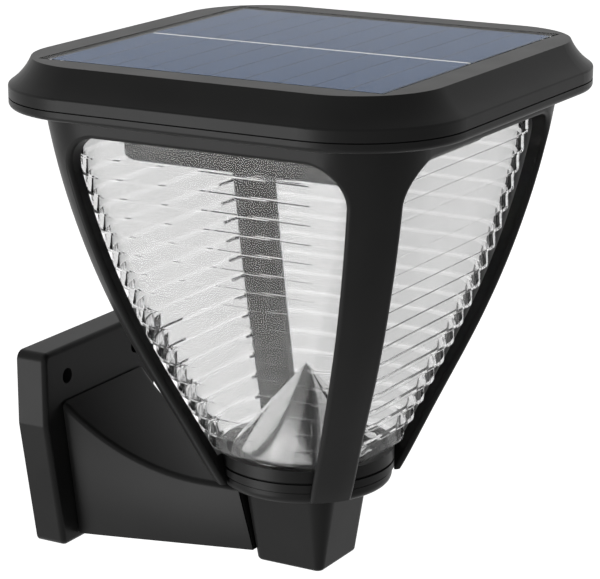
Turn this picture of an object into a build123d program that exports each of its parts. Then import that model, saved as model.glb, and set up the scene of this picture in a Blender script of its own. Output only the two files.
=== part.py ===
from build123d import *
import os
from math import asin, cos, radians, sin, sqrt, tan

# Solar wall light: a square lantern with a solar lid, carried by an arm on a wall plate.
# Millimetres, +Z up. The wall is the plane y = 0 and the light stands out towards -Y. The origin is
# the middle of the two screw holes on the wall. The pieces are drawn about the lantern's own upright
# axis, with the wall at y = REACH, and everything moves by -REACH in y when it is written.

# Wall plate
REACH = 90.0               # wall to the lantern's axis
PLATE_W = 64.8             # width of the upper part
PLATE_FOOT_W = 48.4        # width at the foot
PLATE_DEEP = 11.0          # wall to the front face
PLATE_RISE = 10.0          # screw line up to the top edge
PLATE_H = 68.5
PLATE_STRAIGHT_H = 24.5    # top edge down to where the sides draw in
PLATE_CORNER_R = 3.0
PLATE_EDGE_R = 1.8
BRACKET_WALL = 2.8
SCREW_SPACING = 40.0
SCREW_HOLE_R = 2.6
SCREW_BOSS_R = 5.5
RIB_T = 2.0                # stiffening ribs in the hollow back of the plate

# Arm
ARM_TOP_DROP = 28.5        # screw line down to the flat part of the arm's top
ARM_FLAT_END = 38.0        # lantern axis to where the top begins to climb
ARM_CLIMB_R = 55.0
ARM_FOOT_RISE = 3.8        # socket foot up to the arm's underside, at the socket
ARM_FOOT_FALL = 5.9        # fall of the underside from the socket to the plate
ARM_EDGE_R = 1.6
ARM_ROOT_R = 2.0

# Socket under the lantern
SOCKET_DROP = 54.0         # screw line down to the socket's foot
SOCKET_H = 26.8
SOCKET_FOOT_W = 24.0
SOCKET_DRAFT_DEG = 9.1
SOCKET_EDGE_R = 2.4
SOCKET_FOOT_R = 1.5
SOCKET_WALL = 2.4
SOCKET_PAD_T = 6.0         # thick back wall that takes the arm screws
SOCKET_BOSS_R = 3.4
SOCKET_BOSS_AT = 9.6       # axis to each boss, along x and y

# Collar
COLLAR_H = 11.6
COLLAR_R = 28.2
COLLAR_TOP_BAND = 4.2
COLLAR_MID_BAND = 3.1
COLLAR_GROOVE_W = 0.8
COLLAR_GROOVE_DEEP = 0.9
COLLAR_STEP = 0.7          # the lowest band stands this far in
COLLAR_BOWL_R = 2.6        # round under the lowest band
COLLAR_WALL = 2.8
COLLAR_FLOOR = 2.5
SHELF_T = 1.6              # ring shelf that carries the diffuser and the cone
SHELF_BORE_R = 20.0
COLLAR_SEAT_DEEP = 3.0     # how far the diffuser's foot stands in the collar

# Cage
CAGE_H = 123.0             # post ends to the top of the rail
POST_END_RISE = 2.0        # socket top up to the post ends
CAGE_FOOT_HALF = 27.4      # half width over the faces at the post ends
CAGE_FLANK_DEG = 21.8      # lean of the straight lower flank
CAGE_FLANK_H = 38.0        # height of that straight flank
CAGE_BOW_R = 340.0         # long bow above it
CAGE_FOOT_CORNER_R = 19.5
CAGE_TOP_CORNER_R = 24.0
POST_SPREAD_DEG = 23.7     # each post's half spread about its corner
POST_EDGE_R = 1.4
RAIL_H = 6.55              # window top to the top of the rail
RAIL_WALL = 3.2
LIP_T = 1.6                # lip in the rail that carries the diffuser's flange
WINDOW_CORNER_R = 11.0
POST_SEAT_GAP = 0.1
POST_SCREW_L = 5.6

# Diffuser
DIFFUSER_TOP_INSET = 8.2   # behind the cage's face at the window top
DIFFUSER_FOOT_INSET = 4.6  # behind the cage's face at the collar
DIFFUSER_TOP_CORNER_R = 12.0
DIFFUSER_FOOT_CORNER_R = 20.5
DIFFUSER_WALL = 3.0        # mean outer face to the smooth inside
DIFFUSER_FLANGE_T = 1.8
DIFFUSER_FLOOR_T = 1.5     # ring floor on the collar, over the round spigot
PRISM_PITCH = 6.05
PRISM_LEDGE_H = 1.7
FIRST_LEDGE_DROP = 8.1     # window top down to the first ledge
SEAL_T = 1.2
SEAL_W = 3.0

# Mirrored cone
CONE_R = 23.0
CONE_H = 25.7
CONE_SKIRT_H = 3.6
CONE_TIP_R = 0.6
CONE_BOSS_R = 4.0
CONE_WALL = 1.8

# Head: lid over tray
LID_W = 150.0
LID_CORNER_R = 34.4
LID_BAND_H = 3.6
COVE_H = 8.1
COVE_IN = 7.1              # rim in to the top edge
COVE_R = 19.0
RIM_EDGE_R = 0.8
LID_WALL = 2.4
LID_TOP_WALL = 2.2         # under the panel
LID_SHELF_H = 2.9          # lid foot up to the inner shelf that meets the seal
SEAM_GAP = 0.4
SEAM_DEEP = 1.0
TRAY_BAND_H = 2.9
TRAY_EDGE_R = 1.6
UPSTAND_T = 1.6
HEAD_SEAL_T = 1.4
PLUG_RING_T = 4.0
WELL_W = 84.0              # box under the tray
WELL_DEEP = 17.3
WELL_WALL = 2.2
WELL_CORNER_R = 6.0
WELL_EDGE_R = 2.5
HEAD_SCREW_AT = 48.5       # axis to each head screw, along x and y

# Solar panel
PANEL_W = 116.4
PANEL_GAP = 0.35
COVER_T = 0.8
CELL_T = 0.4
PANEL_BOARD_T = 1.4
PANEL_MARGIN = 2.2
CELL_ROWS = 2
CELLS_PER_ROW = 10
ROW_GAP = 2.0
CELL_GAP = 0.5
TAB_W = 1.0
TAB_L = 2.6
LEAD_HOLE_R = 2.5

# Cell, boards, switch and lamp in the well
BATTERY_R = 9.15
BATTERY_L = 65.0
BATTERY_NUB_R = 3.0
BATTERY_NUB_H = 1.0
BATTERY_Y = 22.0
HOLDER_BASE_T = 1.5
HOLDER_WALL = 1.2
HOLDER_SIDE_H = 9.0
CONTACT_T = 0.5
CONTACT_W = 8.0
CONTACT_BOW = 2.0          # how far the sprung contact stands in
BOARD_L = 62.0
BOARD_W = 31.0
BOARD_T = 1.6
BOARD_Y = -19.5
BOARD_LIFT = 7.0
BOARD_HOLE_IN = 4.0        # board edge to each fixing hole
BOARD_BOSS_R = 3.0
SWITCH_X = 16.0
SWITCH_Y = -27.0
SWITCH_W = 8.0
SWITCH_H = 4.0
SWITCH_TRAVEL = 1.5
BUTTON_R = 2.5
BUTTON_PROUD = 1.8
BUTTON_FLANGE_R = 3.6
BUTTON_FLANGE_T = 1.0
BUTTON_STEM_R = 1.5
LAMP_R = 21.0
LAMP_T = 1.6
CHIP_RING_R = 13.0
CHIP_COUNT = 8
CHIP_W = 3.5
CHIP_T = 0.8
LAMP_COVER_R = 24.0
LAMP_COVER_H = 5.0
LAMP_COVER_T = 1.5
LAMP_EAR_AT = 27.5
LAMP_EAR_R = 4.0
LAMP_EAR_T = 2.0
PLUG_L = 7.0               # lead plugs on the control board
PLUG_W = 5.0
PLUG_H = 6.0
PLUG_STEP = 20.0
LEAD_R = 0.7
LEAD_STEP = 1.8            # between the two wires of a lead

# Screws and fits
SCREW_R = 1.45
SCREW_HEAD_R = 2.8
SCREW_HEAD_H = 1.6
SMALL_SCREW_R = 1.1
SMALL_HEAD_R = 2.1
SMALL_HEAD_H = 1.3
THREAD_GAP = 0.05
FIT = 0.3                  # loose fit between neighbours
RUN = 0.08                 # sliding fit of the button

# Heights, from the socket's foot upwards
SOCKET_FOOT_Z = -SOCKET_DROP
SOCKET_TOP_Z = SOCKET_FOOT_Z + SOCKET_H
COLLAR_TOP_Z = SOCKET_TOP_Z + COLLAR_H
SHELF_Z = COLLAR_TOP_Z - COLLAR_SEAT_DEEP
CAGE_FOOT_Z = SOCKET_TOP_Z + POST_END_RISE
BOW_FOOT_Z = CAGE_FOOT_Z + CAGE_FLANK_H
RAIL_TOP_Z = CAGE_FOOT_Z + CAGE_H
WINDOW_TOP_Z = RAIL_TOP_Z - RAIL_H
FLANGE_Z = WINDOW_TOP_Z + LIP_T
SEAL_Z = FLANGE_Z + DIFFUSER_FLANGE_T
PLUG_RING_Z = SEAL_Z + SEAL_T
TRAY_TOP_Z = RAIL_TOP_Z + TRAY_BAND_H
LID_FOOT_Z = TRAY_TOP_Z + SEAM_GAP
LID_SHELF_Z = LID_FOOT_Z + LID_SHELF_H
COVE_FOOT_Z = LID_FOOT_Z + LID_BAND_H
LID_TOP_Z = COVE_FOOT_Z + COVE_H
COVER_Z = LID_TOP_Z - COVER_T
CELL_Z = COVER_Z - CELL_T
PANEL_Z = CELL_Z - PANEL_BOARD_T
CEILING_Z = PANEL_Z - LID_TOP_WALL
WELL_FOOT_Z = RAIL_TOP_Z - WELL_DEEP
WELL_FLOOR_Z = WELL_FOOT_Z + WELL_WALL
BOARD_Z = WELL_FLOOR_Z + BOARD_LIFT
BOARD_TOP_Z = BOARD_Z + BOARD_T
LAMP_Z = WELL_FOOT_Z - LAMP_T
CONE_Z = SHELF_Z + CONE_SKIRT_H

# Half widths that several pieces share
LID_HALF = LID_W / 2
LID_CORNER_AT = LID_HALF - LID_CORNER_R
PANEL_HALF = PANEL_W / 2
WELL_HALF = WELL_W / 2
PLATE_FRONT_Y = REACH - PLATE_DEEP
CORNERS = [(1, 1), (-1, 1), (-1, -1), (1, -1)]

# Sections that the smooth bowed surfaces are drawn through
LOFT_LEVELS = 8
WINDOW_LEVELS = 7


def between(z, low_z, low, high_z, high):
    """Value at height z on the straight line from (low_z, low) to (high_z, high)."""
    return low + (high - low) * (z - low_z) / (high_z - low_z)


def cage_half(z):
    """Half width of the cage over its faces at height z: a straight flank, then a long bow."""
    lean = radians(CAGE_FLANK_DEG)
    if z <= BOW_FOOT_Z:
        return CAGE_FOOT_HALF + (z - CAGE_FOOT_Z) * tan(lean)
    bow_half = CAGE_FOOT_HALF + CAGE_FLANK_H * tan(lean)
    centre = bow_half - CAGE_BOW_R * cos(lean)
    centre_z = BOW_FOOT_Z + CAGE_BOW_R * sin(lean)
    return centre + sqrt(CAGE_BOW_R**2 - (z - centre_z) ** 2)


def cage_corner(z):
    """Corner radius of the cage at height z."""
    return between(z, CAGE_FOOT_Z, CAGE_FOOT_CORNER_R, RAIL_TOP_Z, CAGE_TOP_CORNER_R)


def window_half(z):
    """Half width of a window at height z: the posts keep the same spread about their corners."""
    radius = cage_corner(z)
    return cage_half(z) - radius + radius * sin(radians(45 - POST_SPREAD_DEG))


def diffuser_half(z):
    """Half width of the diffuser's mean outer face at height z."""
    inset = between(z, COLLAR_TOP_Z, DIFFUSER_FOOT_INSET, WINDOW_TOP_Z, DIFFUSER_TOP_INSET)
    return cage_half(z) - inset


def diffuser_corner(z):
    """Corner radius of the diffuser at height z: rounder towards the foot."""
    return between(z, COLLAR_TOP_Z, DIFFUSER_FOOT_CORNER_R, WINDOW_TOP_Z, DIFFUSER_TOP_CORNER_R)


TOOTH_DEEP = tan(radians(CAGE_FLANK_DEG)) * (PRISM_PITCH - PRISM_LEDGE_H) / 2
REBATE_HALF = cage_half(WINDOW_TOP_Z) - RAIL_WALL
REBATE_CORNER_R = cage_corner(WINDOW_TOP_Z) - RAIL_WALL
SPIGOT_R = COLLAR_R - COLLAR_WALL


def square(half, radius, z):
    """Rounded square face about the axis at height z."""
    return Pos(0, 0, z) * RectangleRounded(2 * half, 2 * half, radius)


def block(half, radius, low_z, high_z):
    """Upright rounded square block about the axis."""
    return extrude(square(half, radius, low_z), high_z - low_z)


def lid_block(half, low_z, high_z):
    """Block of the lid's family of outlines, which share their corner centres."""
    return block(half, half - LID_CORNER_AT, low_z, high_z)


def disc(radius, low_z, high_z, x=0.0, y=0.0):
    """Upright round disc or pin."""
    height = high_z - low_z
    return Pos(x, y, low_z) * Cylinder(radius, height, align=(Align.CENTER, Align.CENTER, Align.MIN))


def bar(x, y, low_z, length, width, height):
    """Rectangular block, centred on x and y, standing on low_z."""
    return Pos(x, y, low_z) * Box(length, width, height, align=(Align.CENTER, Align.CENTER, Align.MIN))


def turned(*edges):
    """Solid of revolution about the axis from a closed run of edges in the x-z plane."""
    return revolve(Face(Wire(edges)), Axis.Z)


def outline(points):
    """Straight edges through points given as (x, z) in the plane y = 0, closed at the end."""
    corners = [(x, 0, z) for x, z in points]
    return [Line(a, b) for a, b in zip(corners, corners[1:] + corners[:1])]


def screw(radius, length, head_r, head_h):
    """Pan-head screw with the underside of its head at the origin and its shank along +Z."""
    head = disc(head_r, -head_h, 0)
    head = fillet(head.edges().group_by(Axis.Z)[0], head_h / 2)
    slot = bar(0, 0, -head_h, 2 * radius, head_h / 3, head_h / 2)
    slot += bar(0, 0, -head_h, head_h / 3, 2 * radius, head_h / 2)
    return head - slot + disc(radius, 0, length)


def lid_path(z):
    """The lid's rim as one closed path from the middle of its +X side."""
    h, c, r = LID_HALF, LID_CORNER_AT, LID_CORNER_R
    sides = [((c, h), (-c, h)), ((-h, c), (-h, -c)), ((-c, -h), (c, -h))]
    runs = [Line((h, 0, z), (h, c, z))]
    for turn, (sx, sy) in enumerate(CORNERS):
        runs.append(CenterArc((sx * c, sy * c, z), r, 90 * turn, 90))
        if turn < len(sides):
            (ax, ay), (bx, by) = sides[turn]
            runs.append(Line((ax, ay, z), (bx, by, z)))
    runs.append(Line((h, -c, z), (h, 0, z)))
    return Wire(runs)


def lid_shell():
    """Lid with its concave bevel, the panel's pocket, the seal shelf and four screw posts."""
    over = FIT + COVE_IN
    foot = (LID_HALF, 0, COVE_FOOT_Z)
    top = (LID_HALF - COVE_IN, 0, LID_TOP_Z)
    chord = sqrt(COVE_IN**2 + COVE_H**2)
    sag = COVE_R - sqrt(COVE_R**2 - chord**2 / 4)
    middle = (
        LID_HALF - COVE_IN / 2 - sag * COVE_H / chord,
        0,
        COVE_FOOT_Z + COVE_H / 2 - sag * COVE_IN / chord,
    )
    corner = [
        (LID_HALF - COVE_IN, 0, LID_TOP_Z + over),
        (LID_HALF + over, 0, LID_TOP_Z + over),
        (LID_HALF + over, 0, COVE_FOOT_Z),
    ]
    edges = [ThreePointArc(foot, middle, top), Line(top, corner[0])]
    edges += [Line(corner[0], corner[1]), Line(corner[1], corner[2]), Line(corner[2], foot)]
    shell = lid_block(LID_HALF, LID_FOOT_Z, LID_TOP_Z)
    shell -= sweep(Face(Wire(edges)), lid_path(COVE_FOOT_Z))
    rim = [e for e in shell.edges() if abs(e.center().Z - COVE_FOOT_Z) < RIM_EDGE_R / 2]
    shell = fillet(rim, RIM_EDGE_R)
    shell -= lid_block(LID_HALF - LID_WALL, LID_FOOT_Z, LID_SHELF_Z)
    shell -= lid_block(LID_HALF - COVE_IN - LID_WALL, LID_SHELF_Z, CEILING_Z)
    shell -= bar(0, 0, PANEL_Z, PANEL_W + 2 * PANEL_GAP, PANEL_W + 2 * PANEL_GAP, LID_TOP_Z)
    for sx, sy in CORNERS:
        x, y = sx * HEAD_SCREW_AT, sy * HEAD_SCREW_AT
        shell += disc(SCREW_HEAD_R + FIT, TRAY_TOP_Z, CEILING_Z, x, y)
        shell -= disc(SCREW_R + THREAD_GAP, TRAY_TOP_Z, CEILING_Z, x, y)
    return shell - disc(LEAD_HOLE_R, CEILING_Z, PANEL_Z, -PLUG_STEP, lead_hole_y())


def lead_hole_y():
    """Where the panel's lead comes down through the lid, in front of the control board."""
    return BOARD_Y - BOARD_W / 2 - LEAD_HOLE_R


def panel_board():
    """Stiff backing sheet of the solar panel."""
    return block(PANEL_HALF, FIT, PANEL_Z, CELL_Z)


def cell_size():
    """Length and width of one cell strip."""
    length = (PANEL_W - 2 * PANEL_MARGIN - (CELL_ROWS - 1) * ROW_GAP) / CELL_ROWS
    width = (PANEL_W - 2 * PANEL_MARGIN - (CELLS_PER_ROW - 1) * CELL_GAP) / CELLS_PER_ROW
    return length, width


def cell_places():
    """Centres of the cell strips: rows across x, strips along y."""
    length, width = cell_size()
    return list(GridLocations(length + ROW_GAP, width + CELL_GAP, CELL_ROWS, CELLS_PER_ROW))


def solar_cells():
    """Cell strips in two rows on the backing sheet."""
    length, width = cell_size()
    return [place * bar(0, 0, CELL_Z, length, width, CELL_T) for place in cell_places()]


def cell_tabs():
    """Soldered tabs on the middle line, one at each strip."""
    width = cell_size()[1]
    tabs = GridLocations(TAB_W, width + CELL_GAP, 1, CELLS_PER_ROW)
    return [place * bar(0, 0, CELL_Z, TAB_W, TAB_L, CELL_T) for place in tabs]


def panel_cover():
    """Clear front sheet, flush with the lid's top."""
    return block(PANEL_HALF, FIT, COVER_Z, LID_TOP_Z)


def head_seal():
    """Soft ring between the tray's upstand and the lid's shelf."""
    outer = LID_HALF - LID_WALL - FIT
    low = LID_SHELF_Z - HEAD_SEAL_T
    return lid_block(outer, low, LID_SHELF_Z) - lid_block(outer - UPSTAND_T, low, LID_SHELF_Z)


def board_holes():
    """Centres of the control board's fixing holes."""
    x = BOARD_L / 2 - BOARD_HOLE_IN
    y = BOARD_W / 2 - BOARD_HOLE_IN
    return [(sx * x, BOARD_Y + sy * y) for sx, sy in CORNERS]


def tray():
    """Lower half of the head: rim band, upstand, ring that plugs into the cage, and the sunk well."""
    slab = lid_block(LID_HALF, RAIL_TOP_Z, TRAY_TOP_Z)
    slab = fillet(slab.edges().group_by(Axis.Z)[0], TRAY_EDGE_R)
    outer = LID_HALF - LID_WALL - FIT
    upstand_z = LID_SHELF_Z - HEAD_SEAL_T
    slab += lid_block(LID_HALF - SEAM_DEEP, TRAY_TOP_Z, LID_FOOT_Z) - lid_block(
        outer - UPSTAND_T, TRAY_TOP_Z, LID_FOOT_Z
    )
    slab += lid_block(outer, TRAY_TOP_Z, upstand_z) - lid_block(outer - UPSTAND_T, TRAY_TOP_Z, upstand_z)
    plug_half = REBATE_HALF - FIT
    plug_corner = REBATE_CORNER_R - FIT
    slab += block(plug_half, plug_corner, PLUG_RING_Z, RAIL_TOP_Z) - block(
        plug_half - PLUG_RING_T, plug_corner - PLUG_RING_T, PLUG_RING_Z, RAIL_TOP_Z
    )
    well = block(WELL_HALF, WELL_CORNER_R, WELL_FOOT_Z, RAIL_TOP_Z)
    slab += fillet(well.edges().group_by(Axis.Z)[0], WELL_EDGE_R)
    slab -= block(WELL_HALF - WELL_WALL, WELL_CORNER_R - WELL_WALL, WELL_FLOOR_Z, TRAY_TOP_Z)
    for x, y in board_holes():
        slab += disc(BOARD_BOSS_R, WELL_FLOOR_Z, BOARD_Z, x, y)
        slab -= disc(SMALL_SCREW_R + THREAD_GAP, WELL_FLOOR_Z, BOARD_Z, x, y)
    for sx in (1, -1):
        slab += disc(BOARD_BOSS_R, WELL_FLOOR_Z, BOARD_Z - FIT, sx * LAMP_EAR_AT)
        slab -= disc(SMALL_SCREW_R + THREAD_GAP, WELL_FOOT_Z, BOARD_Z - FIT, sx * LAMP_EAR_AT)
    for sx, sy in CORNERS:
        x, y = sx * HEAD_SCREW_AT, sy * HEAD_SCREW_AT
        slab -= disc(SCREW_R + FIT, RAIL_TOP_Z, TRAY_TOP_Z, x, y)
    slab -= disc(BUTTON_R + RUN, WELL_FOOT_Z, WELL_FLOOR_Z, SWITCH_X, SWITCH_Y)
    return slab - disc(LEAD_HOLE_R, WELL_FOOT_Z, WELL_FLOOR_Z, 0, lamp_lead_y())


def lamp_lead_y():
    """Where the lamp's lead comes up through the well's floor, behind the control board."""
    return BOARD_Y + BOARD_W / 2 + LEAD_HOLE_R + 2 * FIT


def head_screws():
    """Four screws up through the tray into the lid's posts."""
    one = screw(SCREW_R, CEILING_Z - RAIL_TOP_Z - SCREW_HEAD_H, SCREW_HEAD_R, SCREW_HEAD_H)
    return [Pos(sx * HEAD_SCREW_AT, sy * HEAD_SCREW_AT, RAIL_TOP_Z) * one for sx, sy in CORNERS]


def battery_ends():
    """Inner faces of the holder's end walls, the same way out on both sides of the axis."""
    half = (BATTERY_L + CONTACT_BOW) / 2 + CONTACT_T
    return -half, half


def battery_axis_z():
    """Height of the cell's axis over the holder's base."""
    return WELL_FLOOR_Z + HOLDER_BASE_T + BATTERY_R


def battery_cell():
    """Round rechargeable cell with its raised pole."""
    axis_z = battery_axis_z()
    can = Cylinder(BATTERY_R, BATTERY_L - BATTERY_NUB_H)
    can = fillet(can.edges(), BATTERY_NUB_H / 2)
    nub = Pos(0, 0, BATTERY_L / 2) * Cylinder(BATTERY_NUB_R, BATTERY_NUB_H)
    middle = (CONTACT_BOW - BATTERY_NUB_H) / 2
    return Pos(middle, BATTERY_Y, axis_z) * Rot(0, 90, 0) * (can + nub)


def battery_holder():
    """Open cradle for the cell: base, low sides with a finger gap, and two end walls."""
    left, right = battery_ends()
    middle = (left + right) / 2
    length = right - left + 2 * HOLDER_WALL
    width = 2 * (BATTERY_R + FIT + HOLDER_WALL)
    holder = bar(middle, BATTERY_Y, WELL_FLOOR_Z, length, width, HOLDER_BASE_T + HOLDER_SIDE_H)
    axis_z = battery_axis_z()
    holder -= bar(
        middle, BATTERY_Y, WELL_FLOOR_Z + HOLDER_BASE_T, right - left, width - 2 * HOLDER_WALL, LID_TOP_Z
    )
    gap = width / 2
    holder -= bar(middle, BATTERY_Y, WELL_FLOOR_Z + 2 * HOLDER_BASE_T, gap, 2 * width, LID_TOP_Z)
    for x in (left - HOLDER_WALL / 2, right + HOLDER_WALL / 2):
        holder += bar(x, BATTERY_Y, WELL_FLOOR_Z, HOLDER_WALL, width, axis_z + BATTERY_NUB_R - WELL_FLOOR_Z)
    return holder


def battery_contacts():
    """Flat contact at the raised pole and a bowed, sprung one at the other end."""
    left, right = battery_ends()
    axis_z = battery_axis_z()
    low = axis_z - BATTERY_NUB_R
    flat = bar(right - CONTACT_T / 2, BATTERY_Y, low, CONTACT_T, CONTACT_W, 3 * BATTERY_NUB_R)
    foot = BATTERY_Y - CONTACT_W / 2
    head = BATTERY_Y + CONTACT_W / 2
    tip = left + CONTACT_BOW + CONTACT_T
    step = 2 * CONTACT_T
    outer = [(left, foot, low), (tip, BATTERY_Y, low), (left, head, low)]
    inner = [(left, head - step, low), (tip - CONTACT_T, BATTERY_Y, low), (left, foot + step, low)]
    edges = [ThreePointArc(*outer), Line(outer[2], inner[0]), ThreePointArc(*inner), Line(inner[2], outer[0])]
    return [flat, extrude(Face(Wire(edges)), 3 * BATTERY_NUB_R, dir=(0, 0, 1))]


def control_board():
    """Charge and switching board on the well's four bosses."""
    board = bar(0, BOARD_Y, BOARD_Z, BOARD_L, BOARD_W, BOARD_T)
    for x, y in board_holes():
        board -= disc(SMALL_SCREW_R + FIT, BOARD_Z, BOARD_TOP_Z, x, y)
    return board


def plug_y():
    """Line of the lead plugs along the board's rear edge."""
    return BOARD_Y + BOARD_W / 2 - PLUG_W


def board_parts():
    """Three lead plugs, a chip, a coil and a capacitor on the control board."""
    parts = [bar(step * PLUG_STEP, plug_y(), BOARD_TOP_Z, PLUG_L, PLUG_W, PLUG_H) for step in (-1, 0, 1)]
    parts.append(bar(0, BOARD_Y - PLUG_W, BOARD_TOP_Z, PLUG_L, PLUG_W, CHIP_T * 2))
    parts.append(disc(PLUG_W, BOARD_TOP_Z, BOARD_TOP_Z + PLUG_W, -PLUG_STEP / 2 - PLUG_W, BOARD_Y - PLUG_W))
    parts.append(disc(PLUG_W / 2, BOARD_TOP_Z, BOARD_TOP_Z + PLUG_L, PLUG_STEP / 2, BOARD_Y - PLUG_W))
    return parts


def board_screws():
    """Four small screws down into the well's bosses."""
    one = Rot(180, 0, 0) * screw(SMALL_SCREW_R, BOARD_T + BOARD_LIFT / 2, SMALL_HEAD_R, SMALL_HEAD_H)
    return [Pos(x, y, BOARD_TOP_Z) * one for x, y in board_holes()]


def switch_body():
    """Push switch under the control board, with the well its plunger works in."""
    body = bar(SWITCH_X, SWITCH_Y, BOARD_Z - SWITCH_H, SWITCH_W, SWITCH_W, SWITCH_H)
    return body - disc(BUTTON_STEM_R + RUN, BOARD_Z - SWITCH_H, BOARD_Z - CHIP_T, SWITCH_X, SWITCH_Y)


def switch_button():
    """Button through the well's floor: domed end below, flange above the floor, stem into the switch."""
    low = WELL_FOOT_Z - BUTTON_PROUD
    flange_z = WELL_FLOOR_Z + FIT / 2
    button = disc(BUTTON_R, low, flange_z)
    button = fillet(button.edges().group_by(Axis.Z)[0], BUTTON_PROUD / 2)
    button += disc(BUTTON_FLANGE_R, flange_z, flange_z + BUTTON_FLANGE_T)
    stem_top = BOARD_Z - CHIP_T - SWITCH_TRAVEL - FIT
    button += disc(BUTTON_STEM_R, flange_z, stem_top)
    return Pos(SWITCH_X, SWITCH_Y, 0) * button


def lamp_board():
    """Round lamp board under the well's floor."""
    return disc(LAMP_R, LAMP_Z, WELL_FOOT_Z)


def lamp_chips():
    """Light chips: one in the middle and a ring round it."""
    chip = bar(0, 0, LAMP_Z - CHIP_T, CHIP_W, CHIP_W, CHIP_T)
    return [chip] + [place * chip for place in PolarLocations(CHIP_RING_R, CHIP_COUNT)]


def lamp_cover():
    """Clear cup over the lamp board, with two screw ears."""
    low = WELL_FOOT_Z - LAMP_COVER_H
    cover = disc(LAMP_COVER_R, low, WELL_FOOT_Z)
    cover = fillet(cover.edges().group_by(Axis.Z)[0], LAMP_COVER_T)
    for sx in (1, -1):
        cover += disc(LAMP_EAR_R, WELL_FOOT_Z - LAMP_EAR_T, WELL_FOOT_Z, sx * LAMP_EAR_AT)
    cover -= disc(LAMP_COVER_R - LAMP_COVER_T, low + LAMP_COVER_T, WELL_FOOT_Z)
    for sx in (1, -1):
        cover -= disc(SMALL_SCREW_R + FIT, low, WELL_FOOT_Z, sx * LAMP_EAR_AT)
    return cover


def lamp_screws():
    """Two small screws up through the lamp cover's ears."""
    one = screw(SMALL_SCREW_R, LAMP_EAR_T + WELL_WALL + BOARD_LIFT / 2, SMALL_HEAD_R, SMALL_HEAD_H)
    return [Pos(sx * LAMP_EAR_AT, 0, WELL_FOOT_Z - LAMP_EAR_T) * one for sx in (1, -1)]


def wire(points):
    """Round wire along straight runs with rounded corners."""
    bend = 3 * LEAD_R
    path = FilletPolyline(*points, radius=bend)
    start = Plane(origin=points[0], z_dir=path % 0)
    return sweep(start * Circle(LEAD_R), path)


def lead_loop_z():
    """Height at which the leads cross over the control board."""
    return (CEILING_Z + BOARD_TOP_Z + PLUG_H) / 2


def lead_pair(middle_x, start_y, start_z):
    """Two wires side by side from (start_y, start_z) over to the plug at middle_x."""
    over_z, end_y, end_z = lead_loop_z(), plug_y(), BOARD_TOP_Z + PLUG_H
    pair = []
    for side in (-1, 1):
        x = middle_x + side * LEAD_STEP / 2
        rise = [(x, start_y, start_z), (x, start_y, over_z)]
        pair.append(wire(rise + [(x, end_y, over_z), (x, end_y, end_z)]))
    return pair


def panel_leads():
    """Two wires from the panel down through the lid to the first plug."""
    return lead_pair(-PLUG_STEP, lead_hole_y(), PANEL_Z)


def lamp_leads():
    """Two wires from the lamp board up through the well's floor to the middle plug."""
    return lead_pair(0, lamp_lead_y(), WELL_FOOT_Z)


def battery_leads():
    """Two wires from the cell's contacts to the last plug."""
    left, right = battery_ends()
    contact_z = battery_axis_z() + BATTERY_NUB_R + LEAD_STEP
    loop_z = lead_loop_z()
    near_y = BATTERY_Y - CONTACT_W / 2
    cross_y = lamp_lead_y() + 2 * LEAD_STEP
    plus_x = PLUG_STEP + LEAD_STEP / 2
    minus_x = PLUG_STEP - LEAD_STEP / 2
    plug_z = BOARD_TOP_Z + PLUG_H
    right_x = right - CONTACT_T / 2
    left_x = left + CONTACT_T
    plus = [(right_x, near_y, contact_z), (right_x, cross_y, contact_z), (plus_x, cross_y, loop_z)]
    plus += [(plus_x, plug_y(), loop_z), (plus_x, plug_y(), plug_z)]
    minus = [(left_x, near_y, contact_z), (left_x, cross_y, contact_z)]
    minus += [(minus_x - LEAD_STEP, cross_y, loop_z), (minus_x, plug_y(), loop_z)]
    minus += [(minus_x, plug_y(), plug_z)]
    return [wire(plus), wire(minus)]


def heights(low_z, high_z, count):
    """Evenly spaced heights, both ends included."""
    return [low_z + (high_z - low_z) * step / (count - 1) for step in range(count)]


def window_cut():
    """Prism from the axis along +X of one window: bowed sides, round upper corners, open at the foot."""
    low = CAGE_FOOT_Z - POST_END_RISE
    side = [(0, window_half(z), z) for z in heights(low, WINDOW_TOP_Z, WINDOW_LEVELS)]
    other = [(0, -y, z) for _, y, z in side]
    edges = [Spline(*side), Line(side[-1], other[-1]), Spline(*other[::-1]), Line(other[0], side[0])]
    face = Face(Wire(edges))
    face = face.fillet_2d(WINDOW_CORNER_R, [v for v in face.vertices() if v.Z > BOW_FOOT_Z])
    return extrude(face, LID_W, dir=(1, 0, 0))


def diffuser_room():
    """Space that the diffuser takes inside the cage, with clearance outside its teeth."""
    out = TOOTH_DEEP * sqrt(2) + FIT
    levels = heights(COLLAR_TOP_Z - FIT, FLANGE_Z, LOFT_LEVELS)
    return loft([square(diffuser_half(z) + out, diffuser_corner(z) + out, z) for z in levels])


def is_window_rim(edge):
    """True for an edge where a window meets the cage's outer face."""
    middle = edge.position_at(0.5)
    inside = CAGE_FOOT_Z + FIT < middle.Z < WINDOW_TOP_Z + FIT
    outside = max(abs(middle.X), abs(middle.Y)) > cage_half(middle.Z) - RAIL_WALL
    return inside and outside and edge.length > WINDOW_CORNER_R


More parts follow.
